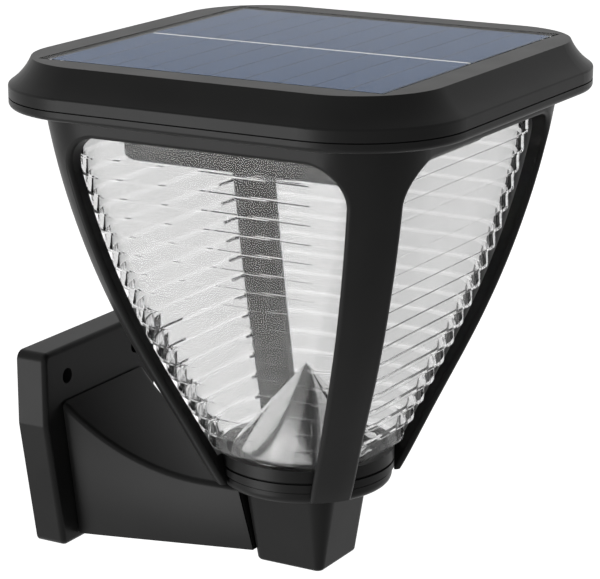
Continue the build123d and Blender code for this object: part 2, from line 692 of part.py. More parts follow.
def cage():
    """Square-to-round frame: four bowed corner posts hanging from one rail."""
    levels = heights(CAGE_FOOT_Z, RAIL_TOP_Z, LOFT_LEVELS)
    frame = loft([square(cage_half(z), cage_corner(z), z) for z in levels])
    frame -= diffuser_room()
    frame -= block(REBATE_HALF, REBATE_CORNER_R, FLANGE_Z, RAIL_TOP_Z)
    frame -= disc(COLLAR_R + POST_SEAT_GAP, CAGE_FOOT_Z, COLLAR_TOP_Z + FIT)
    opening = window_cut()
    for turn in range(4):
        frame -= Rot(0, 0, 90 * turn) * opening
    frame = fillet([e for e in frame.edges() if is_window_rim(e)], POST_EDGE_R)
    for place in post_screw_places():
        frame -= place * disc(SMALL_SCREW_R + THREAD_GAP, 0, POST_SCREW_L)
    return frame


def post_screw_places():
    """Places of the four screws that hold the posts: inside the collar's wall, pointing out."""
    reach = COLLAR_R - COLLAR_WALL - FIT / 3
    z = (SHELF_Z - SHELF_T + SOCKET_TOP_Z + COLLAR_FLOOR) / 2
    return [Rot(0, 0, 45 + 90 * turn) * Pos(reach, 0, z) * Rot(0, 90, 0) for turn in range(4)]


def post_screws():
    """Four small screws from inside the collar out into the post ends."""
    one = screw(SMALL_SCREW_R, POST_SCREW_L, SMALL_HEAD_R, SMALL_HEAD_H)
    return [place * one for place in post_screw_places()]


def diffuser():
    """Clear shade: stepped prisms outside, smooth inside, a flange on top and a spigot at the foot."""
    first = WINDOW_TOP_Z - FIRST_LEDGE_DROP
    count = int((first - COLLAR_TOP_Z - PRISM_LEDGE_H / 2) / PRISM_PITCH)
    sections = []
    top = SEAL_Z
    for step in range(count + 1):
        low = first - step * PRISM_PITCH
        middle = max(low, first - (step - 1) * PRISM_PITCH - PRISM_LEDGE_H) / 2 + low / 2
        if step == 0:
            middle = low + PRISM_PITCH / 2
        half, corner = diffuser_half(middle), diffuser_corner(middle)
        sections += [square(half, corner, top), square(half, corner, low)]
        top = low - PRISM_LEDGE_H
    sections.append(square(diffuser_half(COLLAR_TOP_Z), DIFFUSER_FOOT_CORNER_R, COLLAR_TOP_Z))
    shade = loft(sections, ruled=True)
    shade += block(REBATE_HALF - FIT, REBATE_CORNER_R - FIT, FLANGE_Z, SEAL_Z)
    shade += disc(SPIGOT_R, SHELF_Z, COLLAR_TOP_Z)
    floor = COLLAR_TOP_Z + DIFFUSER_FLOOR_T
    inside = []
    for z in heights(floor, SEAL_Z, LOFT_LEVELS):
        inside.append(square(diffuser_half(z) - DIFFUSER_WALL, diffuser_corner(z) - DIFFUSER_WALL, z))
    return shade - loft(inside) - disc(CONE_R + FIT, SHELF_Z, floor)


def diffuser_seal():
    """Soft ring on the diffuser's flange, under the tray's plug ring."""
    half = REBATE_HALF - 2 * FIT
    corner = REBATE_CORNER_R - 2 * FIT
    ring = block(half, corner, SEAL_Z, PLUG_RING_Z)
    return ring - block(half - SEAL_W, corner - SEAL_W, SEAL_Z, PLUG_RING_Z)


def collar():
    """Round foot of the lantern: three bands, two grooves, a seat for the diffuser and a floor."""
    inner = COLLAR_R - COLLAR_GROOVE_DEEP
    groove_1 = COLLAR_TOP_Z - COLLAR_TOP_BAND
    groove_2 = groove_1 - COLLAR_MID_BAND
    low_r = COLLAR_R - COLLAR_STEP
    half_w = COLLAR_GROOVE_W / 2
    seat_r = SPIGOT_R + FIT
    bore = COLLAR_R - COLLAR_WALL
    points = [
        (0, SOCKET_TOP_Z), (low_r - COLLAR_BOWL_R, SOCKET_TOP_Z), (low_r, SOCKET_TOP_Z + COLLAR_BOWL_R),
        (low_r, groove_2 - half_w), (inner, groove_2 - half_w), (inner, groove_2 + half_w),
        (COLLAR_R, groove_2 + half_w), (COLLAR_R, groove_1 - half_w), (inner, groove_1 - half_w),
        (inner, groove_1 + half_w), (COLLAR_R, groove_1 + half_w), (COLLAR_R, COLLAR_TOP_Z),
        (seat_r, COLLAR_TOP_Z), (seat_r, SHELF_Z), (SHELF_BORE_R, SHELF_Z),
        (SHELF_BORE_R, SHELF_Z - SHELF_T), (bore, SHELF_Z - SHELF_T), (bore, SOCKET_TOP_Z + COLLAR_FLOOR),
        (0, SOCKET_TOP_Z + COLLAR_FLOOR),
    ]
    edges = outline(points)
    bend = COLLAR_BOWL_R * (1 - sqrt(0.5))
    edges[1] = ThreePointArc(edges[1] @ 0, (low_r - bend, 0, SOCKET_TOP_Z + bend), edges[1] @ 1)
    ring = turned(*edges)
    ring -= disc(SCREW_R + FIT, SOCKET_TOP_Z, SOCKET_TOP_Z + COLLAR_FLOOR)
    for sx, sy in CORNERS:
        x, y = sx * SOCKET_BOSS_AT, sy * SOCKET_BOSS_AT
        ring -= disc(SCREW_R + FIT, SOCKET_TOP_Z, SOCKET_TOP_Z + COLLAR_FLOOR, x, y)
    for place in post_screw_places():
        ring -= place * disc(SMALL_SCREW_R + FIT, 0, POST_SCREW_L)
    return ring


def reflector_cone():
    """Mirrored cone on the collar's shelf, with a hollow back and a screw boss."""
    tip_z = CONE_Z + CONE_H
    slope = (CONE_R - CONE_TIP_R) / CONE_H
    inner_r = CONE_R - CONE_WALL
    inner_tip_z = CONE_Z + inner_r / slope - CONE_WALL
    outside = [(0, SHELF_Z), (CONE_R, SHELF_Z), (CONE_R, CONE_Z)]
    outside += [(CONE_TIP_R, tip_z), (0, tip_z + CONE_TIP_R)]
    inside = [(0, SHELF_Z), (inner_r, SHELF_Z), (inner_r, CONE_Z - CONE_WALL), (0, inner_tip_z)]
    shell = turned(*outline(outside))
    hollow = turned(*outline(inside))
    floor = SOCKET_TOP_Z + COLLAR_FLOOR
    shell -= hollow
    shell += disc(CONE_BOSS_R, floor, inner_tip_z - CONE_BOSS_R / slope + CONE_WALL)
    return shell - disc(SCREW_R + THREAD_GAP, floor, CONE_Z)


def cone_screw():
    """Screw up through the collar's floor into the cone's boss."""
    length = COLLAR_FLOOR + CONE_Z - SOCKET_TOP_Z - COLLAR_FLOOR - FIT
    return [Pos(0, 0, SOCKET_TOP_Z) * screw(SCREW_R, length, SCREW_HEAD_R, SCREW_HEAD_H)]


def socket_half(z):
    """Half width of the socket, and of the arm, at height z: both share one draft."""
    return SOCKET_FOOT_W / 2 + (z - SOCKET_FOOT_Z) * tan(radians(SOCKET_DRAFT_DEG))


def socket_box(wall, low_z, high_z, radius):
    """Tapered square block inside the socket's faces by wall."""
    foot = square(socket_half(low_z) - wall, radius, low_z)
    return extrude(foot, high_z - low_z, taper=-SOCKET_DRAFT_DEG)


def arm_screw_plane(z):
    """Plane on the socket's back face at height z, facing out towards the wall."""
    draft = radians(SOCKET_DRAFT_DEG)
    return Plane((0, socket_half(z), z), x_dir=(1, 0, 0), z_dir=(0, cos(draft), -sin(draft)))


def arm_screw_heights():
    """Heights of the two screws that hold the arm to the socket."""
    low = SOCKET_FOOT_Z + ARM_FOOT_RISE + BRACKET_WALL + 2 * SCREW_HEAD_R
    high = -ARM_TOP_DROP - BRACKET_WALL - 2 * SCREW_HEAD_R
    return [low, high]


def socket():
    """Hollow tapered socket, closed at the foot, with four bosses and a thick back wall."""
    box = socket_box(0, SOCKET_FOOT_Z, SOCKET_TOP_Z, SOCKET_EDGE_R)
    box = fillet(box.edges().group_by(Axis.Z)[0], SOCKET_FOOT_R)
    floor = SOCKET_FOOT_Z + SOCKET_WALL
    room = socket_box(SOCKET_WALL, floor, SOCKET_TOP_Z, SOCKET_EDGE_R / 2)
    room -= Pos(0, 2 * SOCKET_FOOT_W + socket_half(floor) - SOCKET_PAD_T, 0) * Box(
        LID_W, 4 * SOCKET_FOOT_W, LID_W
    )
    for sx, sy in CORNERS:
        room -= disc(SOCKET_BOSS_R, floor, SOCKET_TOP_Z, sx * SOCKET_BOSS_AT, sy * SOCKET_BOSS_AT)
    box -= room
    for sx, sy in CORNERS:
        box -= disc(SCREW_R + THREAD_GAP, floor, SOCKET_TOP_Z, sx * SOCKET_BOSS_AT, sy * SOCKET_BOSS_AT)
    for z in arm_screw_heights():
        box -= arm_screw_plane(z) * disc(SCREW_R + THREAD_GAP, -SOCKET_PAD_T, 0)
    return box


def collar_screws():
    """Four screws down through the collar's floor into the socket's bosses."""
    one = Rot(180, 0, 0) * screw(SCREW_R, COLLAR_FLOOR + SOCKET_H / 2, SCREW_HEAD_R, SCREW_HEAD_H)
    top = SOCKET_TOP_Z + COLLAR_FLOOR
    return [Pos(sx * SOCKET_BOSS_AT, sy * SOCKET_BOSS_AT, top) * one for sx, sy in CORNERS]


def arm_prism(wall):
    """Arm as the meeting of its side outline and its tapered section, inside the faces by wall."""
    top_z = -ARM_TOP_DROP - wall
    foot_z = SOCKET_FOOT_Z + ARM_FOOT_RISE + wall
    far_y = REACH
    fall = ARM_FOOT_FALL / (PLATE_FRONT_Y - socket_half(foot_z))
    radius = ARM_CLIMB_R + wall
    climb = asin((PLATE_FRONT_Y - ARM_FLAT_END) / ARM_CLIMB_R)
    centre = (0, ARM_FLAT_END, top_z + radius)
    arc_y = ARM_FLAT_END + radius * sin(climb)
    arc_z = top_z + radius * (1 - cos(climb))
    half_y = ARM_FLAT_END + radius * sin(climb / 2)
    half_z = top_z + radius * (1 - cos(climb / 2))
    start_top = (0, socket_half(top_z) + wall, top_z)
    start_low = (0, socket_half(foot_z) + wall, foot_z)
    flat_end = (0, centre[1], top_z)
    arc_end = (0, arc_y, arc_z)
    top_far = (0, far_y, arc_z)
    low_far = (0, far_y, foot_z - fall * (far_y - start_low[1]))
    side = Face(
        Wire(
            [
                Line(start_top, flat_end),
                ThreePointArc(flat_end, (0, half_y, half_z), arc_end),
                Line(arc_end, top_far),
                Line(top_far, low_far),
                Line(low_far, start_low),
                Line(start_low, start_top),
            ]
        )
    )
    arm = extrude(side, LID_W, dir=(1, 0, 0), both=True)
    low_z, high_z = -PLATE_H, PLATE_RISE
    low, high = socket_half(low_z) - wall, socket_half(high_z) - wall
    corners = [(-low, 0, low_z), (low, 0, low_z), (high, 0, high_z), (-high, 0, high_z)]
    section = Face(Wire([Line(a, b) for a, b in zip(corners, corners[1:] + corners[:1])]))
    return arm & extrude(section, 2 * REACH, dir=(0, 1, 0))


def plate_block(wall, near_y, far_y):
    """Wall plate's outline, inside its edge by wall, between two depths."""
    top, low = PLATE_RISE - wall, PLATE_RISE - PLATE_H + wall
    brk = PLATE_RISE - PLATE_STRAIGHT_H
    half, foot = PLATE_W / 2 - wall, PLATE_FOOT_W / 2 - wall
    corners = [(half, top), (half, brk), (foot, low), (-foot, low), (-half, brk), (-half, top)]
    points = [(x, near_y, z) for x, z in corners]
    face = Face(Wire([Line(a, b) for a, b in zip(points, points[1:] + points[:1])]))
    face = face.fillet_2d(max(PLATE_CORNER_R - wall, FIT), face.vertices())
    return extrude(face, far_y - near_y, dir=(0, 1, 0))


def wall_bracket():
    """Arm and wall plate in one hollow moulding, open to the wall, with screw bosses and ribs."""
    plate = plate_block(0, PLATE_FRONT_Y, REACH)
    plate = fillet(plate.edges().group_by(Axis.Y)[0], PLATE_EDGE_R)
    arm = arm_prism(0)
    along = [e for e in arm.edges() if e.length > ARM_FLAT_END / 3 and abs(e.center().X) > FIT]
    arm = fillet(along, ARM_EDGE_R)
    bracket = plate + arm
    hollow = plate_block(BRACKET_WALL, PLATE_FRONT_Y + BRACKET_WALL, REACH)
    screw_places = [Pos(sx * SCREW_SPACING / 2, REACH, 0) * Rot(90, 0, 0) for sx in (1, -1)]
    for place in screw_places:
        hollow -= place * disc(SCREW_BOSS_R, 0, PLATE_DEEP)
    rib_z = [PLATE_RISE - PLATE_STRAIGHT_H, (2 * PLATE_RISE - PLATE_STRAIGHT_H - PLATE_H) / 2]
    for z in rib_z:
        hollow -= Pos(0, REACH - FIT - PLATE_DEEP / 2, z) * Box(PLATE_W, PLATE_DEEP, RIB_T)
    bracket -= hollow
    bracket -= arm_prism(BRACKET_WALL)
    for place in screw_places:
        bracket -= place * disc(SCREW_HOLE_R, 0, PLATE_DEEP)
    for z in arm_screw_heights():
        bracket -= arm_screw_plane(z) * disc(SCREW_R + FIT, 0, 2 * BRACKET_WALL)
    return bracket


def arm_screws():
    """Two screws from inside the hollow arm into the socket's back wall."""
    one = Rot(180, 0, 0) * screw(SCREW_R, BRACKET_WALL + SOCKET_PAD_T / 2, SCREW_HEAD_R, SCREW_HEAD_H)
    return [arm_screw_plane(z) * Pos(0, 0, BRACKET_WALL) * one for z in arm_screw_heights()]


NODES = {
    "wall_bracket": wall_bracket,
    "socket": socket,
    "arm_screws": arm_screws,
    "collar": collar,
    "collar_screws": collar_screws,
    "reflector_cone": reflector_cone,
    "cone_screw": cone_screw,
    "cage": cage,
    "post_screws": post_screws,
    "diffuser": diffuser,
    "diffuser_seal": diffuser_seal,
    "tray": tray,
    "head_seal": head_seal,
    "head_screws": head_screws,
    "lid_shell": lid_shell,
    "panel_board": panel_board,
    "solar_cells": solar_cells,
    "cell_tabs": cell_tabs,
    "panel_cover": panel_cover,
    "battery_holder": battery_holder,
    "battery_cell": battery_cell,
    "battery_contacts": battery_contacts,
    "control_board": control_board,
    "board_parts": board_parts,
    "board_screws": board_screws,
    "switch_body": switch_body,
    "switch_button": switch_button,
    "lamp_board": lamp_board,
    "lamp_chips": lamp_chips,
    "lamp_cover": lamp_cover,
    "lamp_screws": lamp_screws,
    "panel_leads": panel_leads,
    "lamp_leads": lamp_leads,
    "battery_leads": battery_leads,
}

os.makedirs("parts", exist_ok=True)
for name, build in NODES.items():
    made = build()
    pieces = made if isinstance(made, list) else [made]
    solids = [solid for piece in pieces for solid in piece.solids()]
    export_step(Pos(0, -REACH, 0) * Compound(children=solids), f"parts/{name}.step")
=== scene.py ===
"""Looks of a solar wall light: finishes, fine pieces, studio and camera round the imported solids."""
import logging
import math
from abc import ABC, abstractmethod
from dataclasses import dataclass
from enum import Enum
from functools import lru_cache
from typing import ClassVar, Dict, List, Optional, Sequence, Tuple

import bmesh
import bpy
from bmesh.types import BMesh
from bpy.types import Material, Node, NodeSocket, NodeTree
from mathutils import Matrix, Vector


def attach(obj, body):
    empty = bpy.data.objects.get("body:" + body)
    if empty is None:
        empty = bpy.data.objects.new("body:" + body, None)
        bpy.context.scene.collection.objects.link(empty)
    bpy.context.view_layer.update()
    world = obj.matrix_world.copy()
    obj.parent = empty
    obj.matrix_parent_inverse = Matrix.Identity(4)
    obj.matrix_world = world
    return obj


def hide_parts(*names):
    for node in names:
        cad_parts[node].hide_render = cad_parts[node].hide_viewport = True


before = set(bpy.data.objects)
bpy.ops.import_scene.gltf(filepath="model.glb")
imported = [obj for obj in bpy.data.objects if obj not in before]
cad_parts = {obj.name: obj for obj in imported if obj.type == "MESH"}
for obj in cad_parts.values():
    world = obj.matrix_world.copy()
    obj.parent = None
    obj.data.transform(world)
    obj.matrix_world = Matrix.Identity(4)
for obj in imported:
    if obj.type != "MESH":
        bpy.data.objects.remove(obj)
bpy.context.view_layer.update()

LOG = logging.getLogger("solar_wall_light")
MM = 0.001
AXIS_Y = -90.0  # lantern's axis, in millimetres out from the wall
CORNERS = ((1, 1), (-1, 1), (-1, -1), (1, -1))
CORNER_STEPS = 12
UP, DOWN = (0.0, 0.0, 1.0), (0.0, 0.0, -1.0)
MIX_INPUTS, MIX_RESULT = (0, 6, 7), 2  # sockets of a Mix node that mixes colours

Triple = Tuple[float, float, float]


class Slot(Enum):
    """Material slots of the record, handed with each new piece; nothing reads them."""

    BLACK = "black_plastic"
    STEEL = "screw_steel"
    DIFFUSER = "clear_diffuser"
    TAB = "tinned_tab"
    PANEL = "panel_clear"
    LAMP = "lamp_white"
    CHIP = "chip_yellow"


class Graph:
    """Adds nodes to one node tree and links them."""

    def __init__(self, tree: NodeTree) -> None:
        """Keeps the tree and clears what it holds."""
        self.tree = tree
        tree.nodes.clear()

    def add(self, kind: str, **values: object) -> Node:
        """Adds a node.

        Args:
            kind: Blender's type name of the node.
            values: Node properties by name; input sockets go through ``feed``.

        Returns:
            The new node.
        """
        node = self.tree.nodes.new(kind)
        for name, value in values.items():
            setattr(node, name, value)
        return node

    def put(self, value: object, socket: NodeSocket) -> None:
        """Links an output to an input, or sets the input.

        Args:
            value: An output socket or a value.
            socket: The input.
        """
        if isinstance(value, NodeSocket):
            self.tree.links.new(value, socket)
        else:
            socket.default_value = value

    def feed(self, node: Node, **inputs: object) -> Node:
        """Sets or links inputs of a node.

        Args:
            node: The node to feed.
            inputs: Socket names, with spaces written as underscores, to a value or an output.

        Returns:
            The same node.
        """
        for name, value in inputs.items():
            self.put(value, node.inputs[name.replace("_", " ")])
        return node

    def group(self, tree: NodeTree, **inputs: object) -> Node:
        """Places a shared group and feeds its inputs."""
        return self.feed(self.add("ShaderNodeGroup", node_tree=tree), **inputs)

    def math(self, operation: str, a: object, b: object = 0.0, clamp: bool = False) -> NodeSocket:
        """Adds a maths node.

        Args:
            operation: Blender's name of the operation.
            a: First value or output socket.
            b: Second value or output socket.
            clamp: Whether the result is held between 0 and 1.

        Returns:
            The output socket.
        """
        node = self.add("ShaderNodeMath", operation=operation, use_clamp=clamp)
        self.put(a, node.inputs[0])
        self.put(b, node.inputs[1])
        return node.outputs[0]

    def mix(self, factor: object, a: object, b: object) -> NodeSocket:
        """Mixes two colours.

        Args:
            factor: Share of the second colour, as a value or a socket.
            a: First colour, as four numbers or a socket.
            b: Second colour, as four numbers or a socket.

        Returns:
            The output socket.
        """
        node = self.add("ShaderNodeMix", data_type="RGBA")
        for index, value in zip(MIX_INPUTS, (factor, a, b)):
            self.put(value, node.inputs[index])
        return node.outputs[MIX_RESULT]

    def local(self) -> NodeSocket:
        """Place on the object, in its own space."""
        return self.add("ShaderNodeTexCoord").outputs["Object"]

    def part(self, vector: NodeSocket, axis: str) -> NodeSocket:
        """One of a vector's three parts."""
        return self.feed(self.add("ShaderNodeSeparateXYZ"), Vector=vector).outputs[axis]

    def noise(self, scale: object, detail: float) -> NodeSocket:
        """Noise in the object's own space, with a number of grains per metre."""
        node = self.add("ShaderNodeTexNoise")
        return self.feed(node, Vector=self.local(), Scale=scale, Detail=detail).outputs[0]


class Effects:
    """Shader node groups that several finishes share, each made once.

    Attributes:
        FINE_SHARE: Share of fine noise in the grain's height; cells make up the rest.
        BEVEL_SAMPLES: Samples of the rounded normal at an edge.
        EDGE_GAIN: How fast the mask of rubbed edges grows with the rounding.
        UP_FOCUS: How fast dust thins out as a face tilts.
    """

    FINE_SHARE = 0.6
    BEVEL_SAMPLES = 4
    EDGE_GAIN = 6.0
    UP_FOCUS = 3.0

    @staticmethod
    def _start(name: str, inputs: Dict[str, float], *outputs: str) -> Tuple[Graph, Node, Node]:
        """Starts a group with float sockets.

        Args:
            name: Name of the group.
            inputs: Input names with their default values.
            outputs: Names of the outputs.

        Returns:
            The graph, its input node and its output node.
        """
        tree = bpy.data.node_groups.new(name, "ShaderNodeTree")
        for label, value in inputs.items():
            socket = tree.interface.new_socket(label, in_out="INPUT", socket_type="NodeSocketFloat")
            socket.default_value = value
        for label in outputs:
            tree.interface.new_socket(label, in_out="OUTPUT", socket_type="NodeSocketFloat")
        graph = Graph(tree)
        return graph, graph.add("NodeGroupInput"), graph.add("NodeGroupOutput")

    @classmethod
    @lru_cache(maxsize=None)
    def grain(cls) -> NodeTree:
        """Fine moulded grain: a height for bump and a mask for tone.

        Returns:
            The group.
        """
        defaults = {"Scale": 900.0, "Spread": 60.0}
        graph, given, out = cls._start("moulded_grain", defaults, "Height", "Tone")
        scale = given.outputs["Scale"]
        cells = graph.feed(graph.add("ShaderNodeTexVoronoi"), Vector=graph.local(), Scale=scale)
        fine = graph.math("MULTIPLY", graph.noise(scale, 3.0), cls.FINE_SHARE)
        rest = graph.math("MULTIPLY", cells.outputs[0], 1.0 - cls.FINE_SHARE)
        tone = graph.noise(given.outputs["Spread"], 2.0)
        graph.feed(out, Height=graph.math("ADD", fine, rest), Tone=tone)
        return graph.tree

    @classmethod
    @lru_cache(maxsize=None)
    def wear(cls) -> NodeTree:
        """Mask of rubbed edges: where a rounded normal leaves the true one, broken up by noise.

        Returns:
            The group.
        """
        graph, given, out = cls._start("rubbed_edges", {"Width": 0.0006, "Scale": 220.0}, "Mask")
        rounded = graph.add("ShaderNodeBevel", samples=cls.BEVEL_SAMPLES)
        graph.feed(rounded, Radius=given.outputs["Width"])
        dot = graph.add("ShaderNodeVectorMath", operation="DOT_PRODUCT")
        graph.put(rounded.outputs[0], dot.inputs[0])
        graph.put(graph.add("ShaderNodeNewGeometry").outputs["Normal"], dot.inputs[1])
        away = graph.math("SUBTRACT", 1.0, dot.outputs["Value"])
        edge = graph.math("MULTIPLY", away, cls.EDGE_GAIN, clamp=True)
        noise = graph.noise(given.outputs["Scale"], 4.0)
        graph.feed(out, Mask=graph.math("MULTIPLY", edge, noise, clamp=True))
        return graph.tree

    @classmethod
    @lru_cache(maxsize=None)
    def dust(cls) -> NodeTree:
        """Mask of a little dust that lies on what faces up.

        Returns:
            The group.
        """
        graph, given, out = cls._start("settled_dust", {"Scale": 140.0, "Amount": 0.3}, "Mask")
        normal = graph.add("ShaderNodeNewGeometry").outputs["Normal"]
        facing = graph.math("MAXIMUM", graph.part(normal, "Z"), 0.0)
        up = graph.math("POWER", facing, cls.UP_FOCUS)
        patchy = graph.math("MULTIPLY", up, graph.noise(given.outputs["Scale"], 5.0))
        graph.feed(out, Mask=graph.math("MULTIPLY", patchy, given.outputs["Amount"], clamp=True))
        return graph.tree

    @classmethod
    @lru_cache(maxsize=None)
    def level(cls) -> NodeTree:
        """Mask of faces that lie level, facing up or down.

        Returns:
            The group.
        """
        graph, given, out = cls._start("level_faces", {"Start": 0.2, "Full": 0.45}, "Mask")
        normal = graph.add("ShaderNodeNewGeometry").outputs["True Normal"]
        ramp = graph.add("ShaderNodeMapRange")
        graph.feed(ramp, From_Min=given.outputs["Start"], From_Max=given.outputs["Full"])
        graph.feed(ramp, Value=graph.math("ABSOLUTE", graph.part(normal, "Z")))
        graph.feed(out, Mask=ramp.outputs[0])
        return graph.tree


def rgba(colour: Triple) -> Tuple[float, float, float, float]:
    """Colour with full alpha."""
    return (*colour, 1.0)


def grey(level: float) -> Triple:
    """Neutral colour, linear."""
    return (level, level, level)


@dataclass(frozen=True)
class Finish:
    """Base of every finish: a Principled surface fed by the shared groups.

    Attributes:
        name: Name of the material.
        colour: Main colour, linear.
        second: Colour of the tone's other end.
        rough: Lowest roughness.
        rough_spread: Roughness added by the tone.
        grain_scale: Grain cells per metre.
        grain_depth: Bump distance in metres.
        grain_strength: Strength of the bump.
        specular: Specular level.
        metallic: Metal share.
        wear: Strength of the rubbed edges.
        worn: Colour of a rubbed edge.
        dust: Amount of settled dust.
        dust_colour: Colour of the dust.
    """

    name: str
    colour: Triple
    second: Triple
    rough: float = 0.4
    rough_spread: float = 0.1
    grain_scale: float = 1200.0
    grain_depth: float = 0.00003
    grain_strength: float = 0.6
    specular: float = 0.5
    metallic: float = 0.0
    wear: float = 0.0
    worn: Triple = grey(0.2)
    dust: float = 0.0
    dust_colour: Triple = (0.35, 0.34, 0.32)

    @lru_cache(maxsize=None)
    def make(self) -> Material:
        """Builds the material, once for each finish.

        Returns:
            The new material.
        """
        material = bpy.data.materials.new(self.name)
        material.use_nodes = True
        graph = Graph(material.node_tree)
        shader = graph.add("ShaderNodeBsdfPrincipled")
        graph.feed(graph.add("ShaderNodeOutputMaterial"), Surface=shader.outputs[0])
        self.surface(graph, shader)
        return material

    def surface(self, graph: Graph, shader: Node) -> None:
        """Feeds the shader's sockets.

        Args:
            graph: Graph of the material.
            shader: The Principled node.
        """
        grain = graph.group(Effects.grain(), Scale=self.grain_scale)
        colour = self.tone(graph, grain)
        if self.wear > 0.0:
            rubbed = graph.group(Effects.wear()).outputs["Mask"]
            colour = graph.mix(graph.math("MULTIPLY", rubbed, self.wear), colour, rgba(self.worn))
        if self.dust > 0.0:
            dusty = graph.group(Effects.dust(), Amount=self.dust).outputs["Mask"]
            colour = graph.mix(dusty, colour, rgba(self.dust_colour))
        graph.feed(shader, Base_Color=colour, Roughness=self.gloss(graph, grain))
        graph.feed(shader, Normal=self.bump(graph, grain.outputs["Height"]))
        graph.feed(shader, Metallic=self.metallic, Specular_IOR_Level=self.specular)

    def tone(self, graph: Graph, grain: Node) -> NodeSocket:
        """Colour that the grain's tone varies."""
        return graph.mix(grain.outputs["Tone"], rgba(self.colour), rgba(self.second))

    def gloss(self, graph: Graph, grain: Node) -> NodeSocket:
        """Roughness that the grain's tone varies."""
        spread = graph.math("MULTIPLY", grain.outputs["Tone"], self.rough_spread)
        return graph.math("ADD", spread, self.rough)

    def bump(self, graph: Graph, height: NodeSocket) -> NodeSocket:
        """Normal that the grain's height bends."""
        node = graph.feed(graph.add("ShaderNodeBump"), Height=height, Distance=self.grain_depth)
        return graph.feed(node, Strength=self.grain_strength).outputs[0]


@dataclass(frozen=True)
class ClearFinish(Finish):
    """Clear moulded plastic: light passes and bends, with faint flow marks and a trace of haze.

    Attributes:
        grain_strength: Strength of the flow marks.
        ior: Index of refraction.
        clear: Share of light that passes; the rest is haze.
        level_alpha: How much of a level face shows, such as a prism's ledge.
    """

    grain_strength: float = 0.3
    ior: float = 1.49
    clear: float = 1.0
    level_alpha: float = 1.0

    def surface(self, graph: Graph, shader: Node) -> None:
        """Feeds the shader's sockets for clear plastic.

        Args:
            graph: Graph of the material.
            shader: The Principled node.
        """
        grain = graph.group(Effects.grain(), Scale=self.grain_scale)
        graph.feed(shader, Base_Color=self.tone(graph, grain), Roughness=self.gloss(graph, grain))
        graph.feed(shader, Normal=self.bump(graph, grain.outputs["Tone"]))
        if self.level_alpha < 1.0:
            level = graph.group(Effects.level()).outputs["Mask"]
            fade = graph.math("MULTIPLY", level, 1.0 - self.level_alpha)
            graph.feed(shader, Alpha=graph.math("SUBTRACT", 1.0, fade))
        graph.feed(shader, Metallic=self.metallic, Specular_IOR_Level=self.specular)
        graph.feed(shader, Transmission_Weight=self.clear, IOR=self.ior)


@dataclass(frozen=True)
class CellFinish(Finish):
    """Silicon strips: dark blue crystal with fine printed fingers along each strip.

    Attributes:
        finger_pitch: Distance between two fingers, in metres.
        finger_share: Share of that distance a finger covers.
        finger_start: Metres added along the strip, so that every place counts up from zero.
        finger_colour: Colour of a finger.
        crystal_scale: Crystal grains per metre.
    """

    finger_pitch: float = 0.0012
    finger_share: float = 0.22
    finger_start: float = 1.0
    finger_colour: Triple = (0.10, 0.14, 0.22)
    crystal_scale: float = 140.0

    def surface(self, graph: Graph, shader: Node) -> None:
        """Feeds the shader's sockets for the cells.

        Args:
            graph: Graph of the material.
            shader: The Principled node.
        """
        grain = graph.group(Effects.grain(), Scale=self.grain_scale, Spread=self.crystal_scale)
        along = graph.math("ADD", graph.part(graph.local(), "Y"), self.finger_start)
        step = graph.math("FRACT", graph.math("DIVIDE", along, self.finger_pitch))
        finger = graph.math("LESS_THAN", step, self.finger_share)
        colour = graph.mix(finger, self.tone(graph, grain), rgba(self.finger_colour))
        graph.feed(shader, Base_Color=colour, Roughness=self.gloss(graph, grain))
        graph.feed(shader, Metallic=self.metallic, Specular_IOR_Level=self.specular)


BLACK_PLASTIC = Finish(
    "satin_black_plastic", grey(0.006), (0.009, 0.009, 0.0088),
    rough=0.34, rough_spread=0.08, grain_scale=1500.0, grain_depth=0.000006, specular=0.075,
    wear=0.06, worn=grey(0.05), dust=0.004,
)
CLEAR_DIFFUSER = ClearFinish(
    "clear_ribbed_plastic", grey(0.74), grey(0.71), rough=0.05, rough_spread=0.01,
    grain_scale=300.0, grain_depth=0.000002, ior=1.14, clear=0.98, level_alpha=0.15,
)
CLEAR_COVER = ClearFinish(
    "clear_lamp_plastic", grey(0.95), grey(0.92), rough=0.05, rough_spread=0.05,
    grain_depth=0.00001,
)
PANEL_SHEET = ClearFinish(
    "clear_panel_sheet", (0.94, 0.95, 0.96), (0.92, 0.93, 0.94), rough=0.05, rough_spread=0.05,
    grain_depth=0.000002, ior=1.035,
)
CONE_MIRROR = Finish(
    "metallised_cone", (0.93, 0.93, 0.92), grey(0.88), rough=0.06, rough_spread=0.05,
    metallic=1.0, grain_scale=400.0, grain_depth=0.000004,
)
SCREW_STEEL = Finish(
    "plated_screw", grey(0.5), (0.4, 0.4, 0.41), rough=0.3, rough_spread=0.15,
    metallic=1.0, wear=0.3, worn=grey(0.7),
)
SEAL_RUBBER = Finish("seal_rubber", grey(0.03), grey(0.045), rough=0.7, specular=0.3)
PANEL_BACKING = Finish(
    "panel_laminate", (0.02, 0.02, 0.021), (0.03, 0.03, 0.031), rough=0.6, specular=0.0
)
CELL_SILICON = CellFinish(
    "cell_silicon", (0.02, 0.06, 0.15), (0.03, 0.08, 0.185), rough=0.5, specular=0.0
)
TINNED_TAB = Finish("tinned_tab", grey(0.88), grey(0.72), rough=0.3, rough_spread=0.2, metallic=1.0)
HOLDER_PLASTIC = Finish("holder_plastic", grey(0.04), grey(0.055), rough=0.5, wear=0.1)
CELL_WRAP = Finish(
    "shrink_wrap", (0.03, 0.12, 0.4), (0.02, 0.09, 0.33), rough=0.25, rough_spread=0.15
)
CONTACT_METAL = Finish(
    "nickel_contact", (0.7, 0.67, 0.6), (0.6, 0.58, 0.52), rough=0.3, metallic=1.0
)
BOARD_GREEN = Finish("solder_mask", (0.015, 0.14, 0.05), (0.02, 0.18, 0.06), rough=0.3)
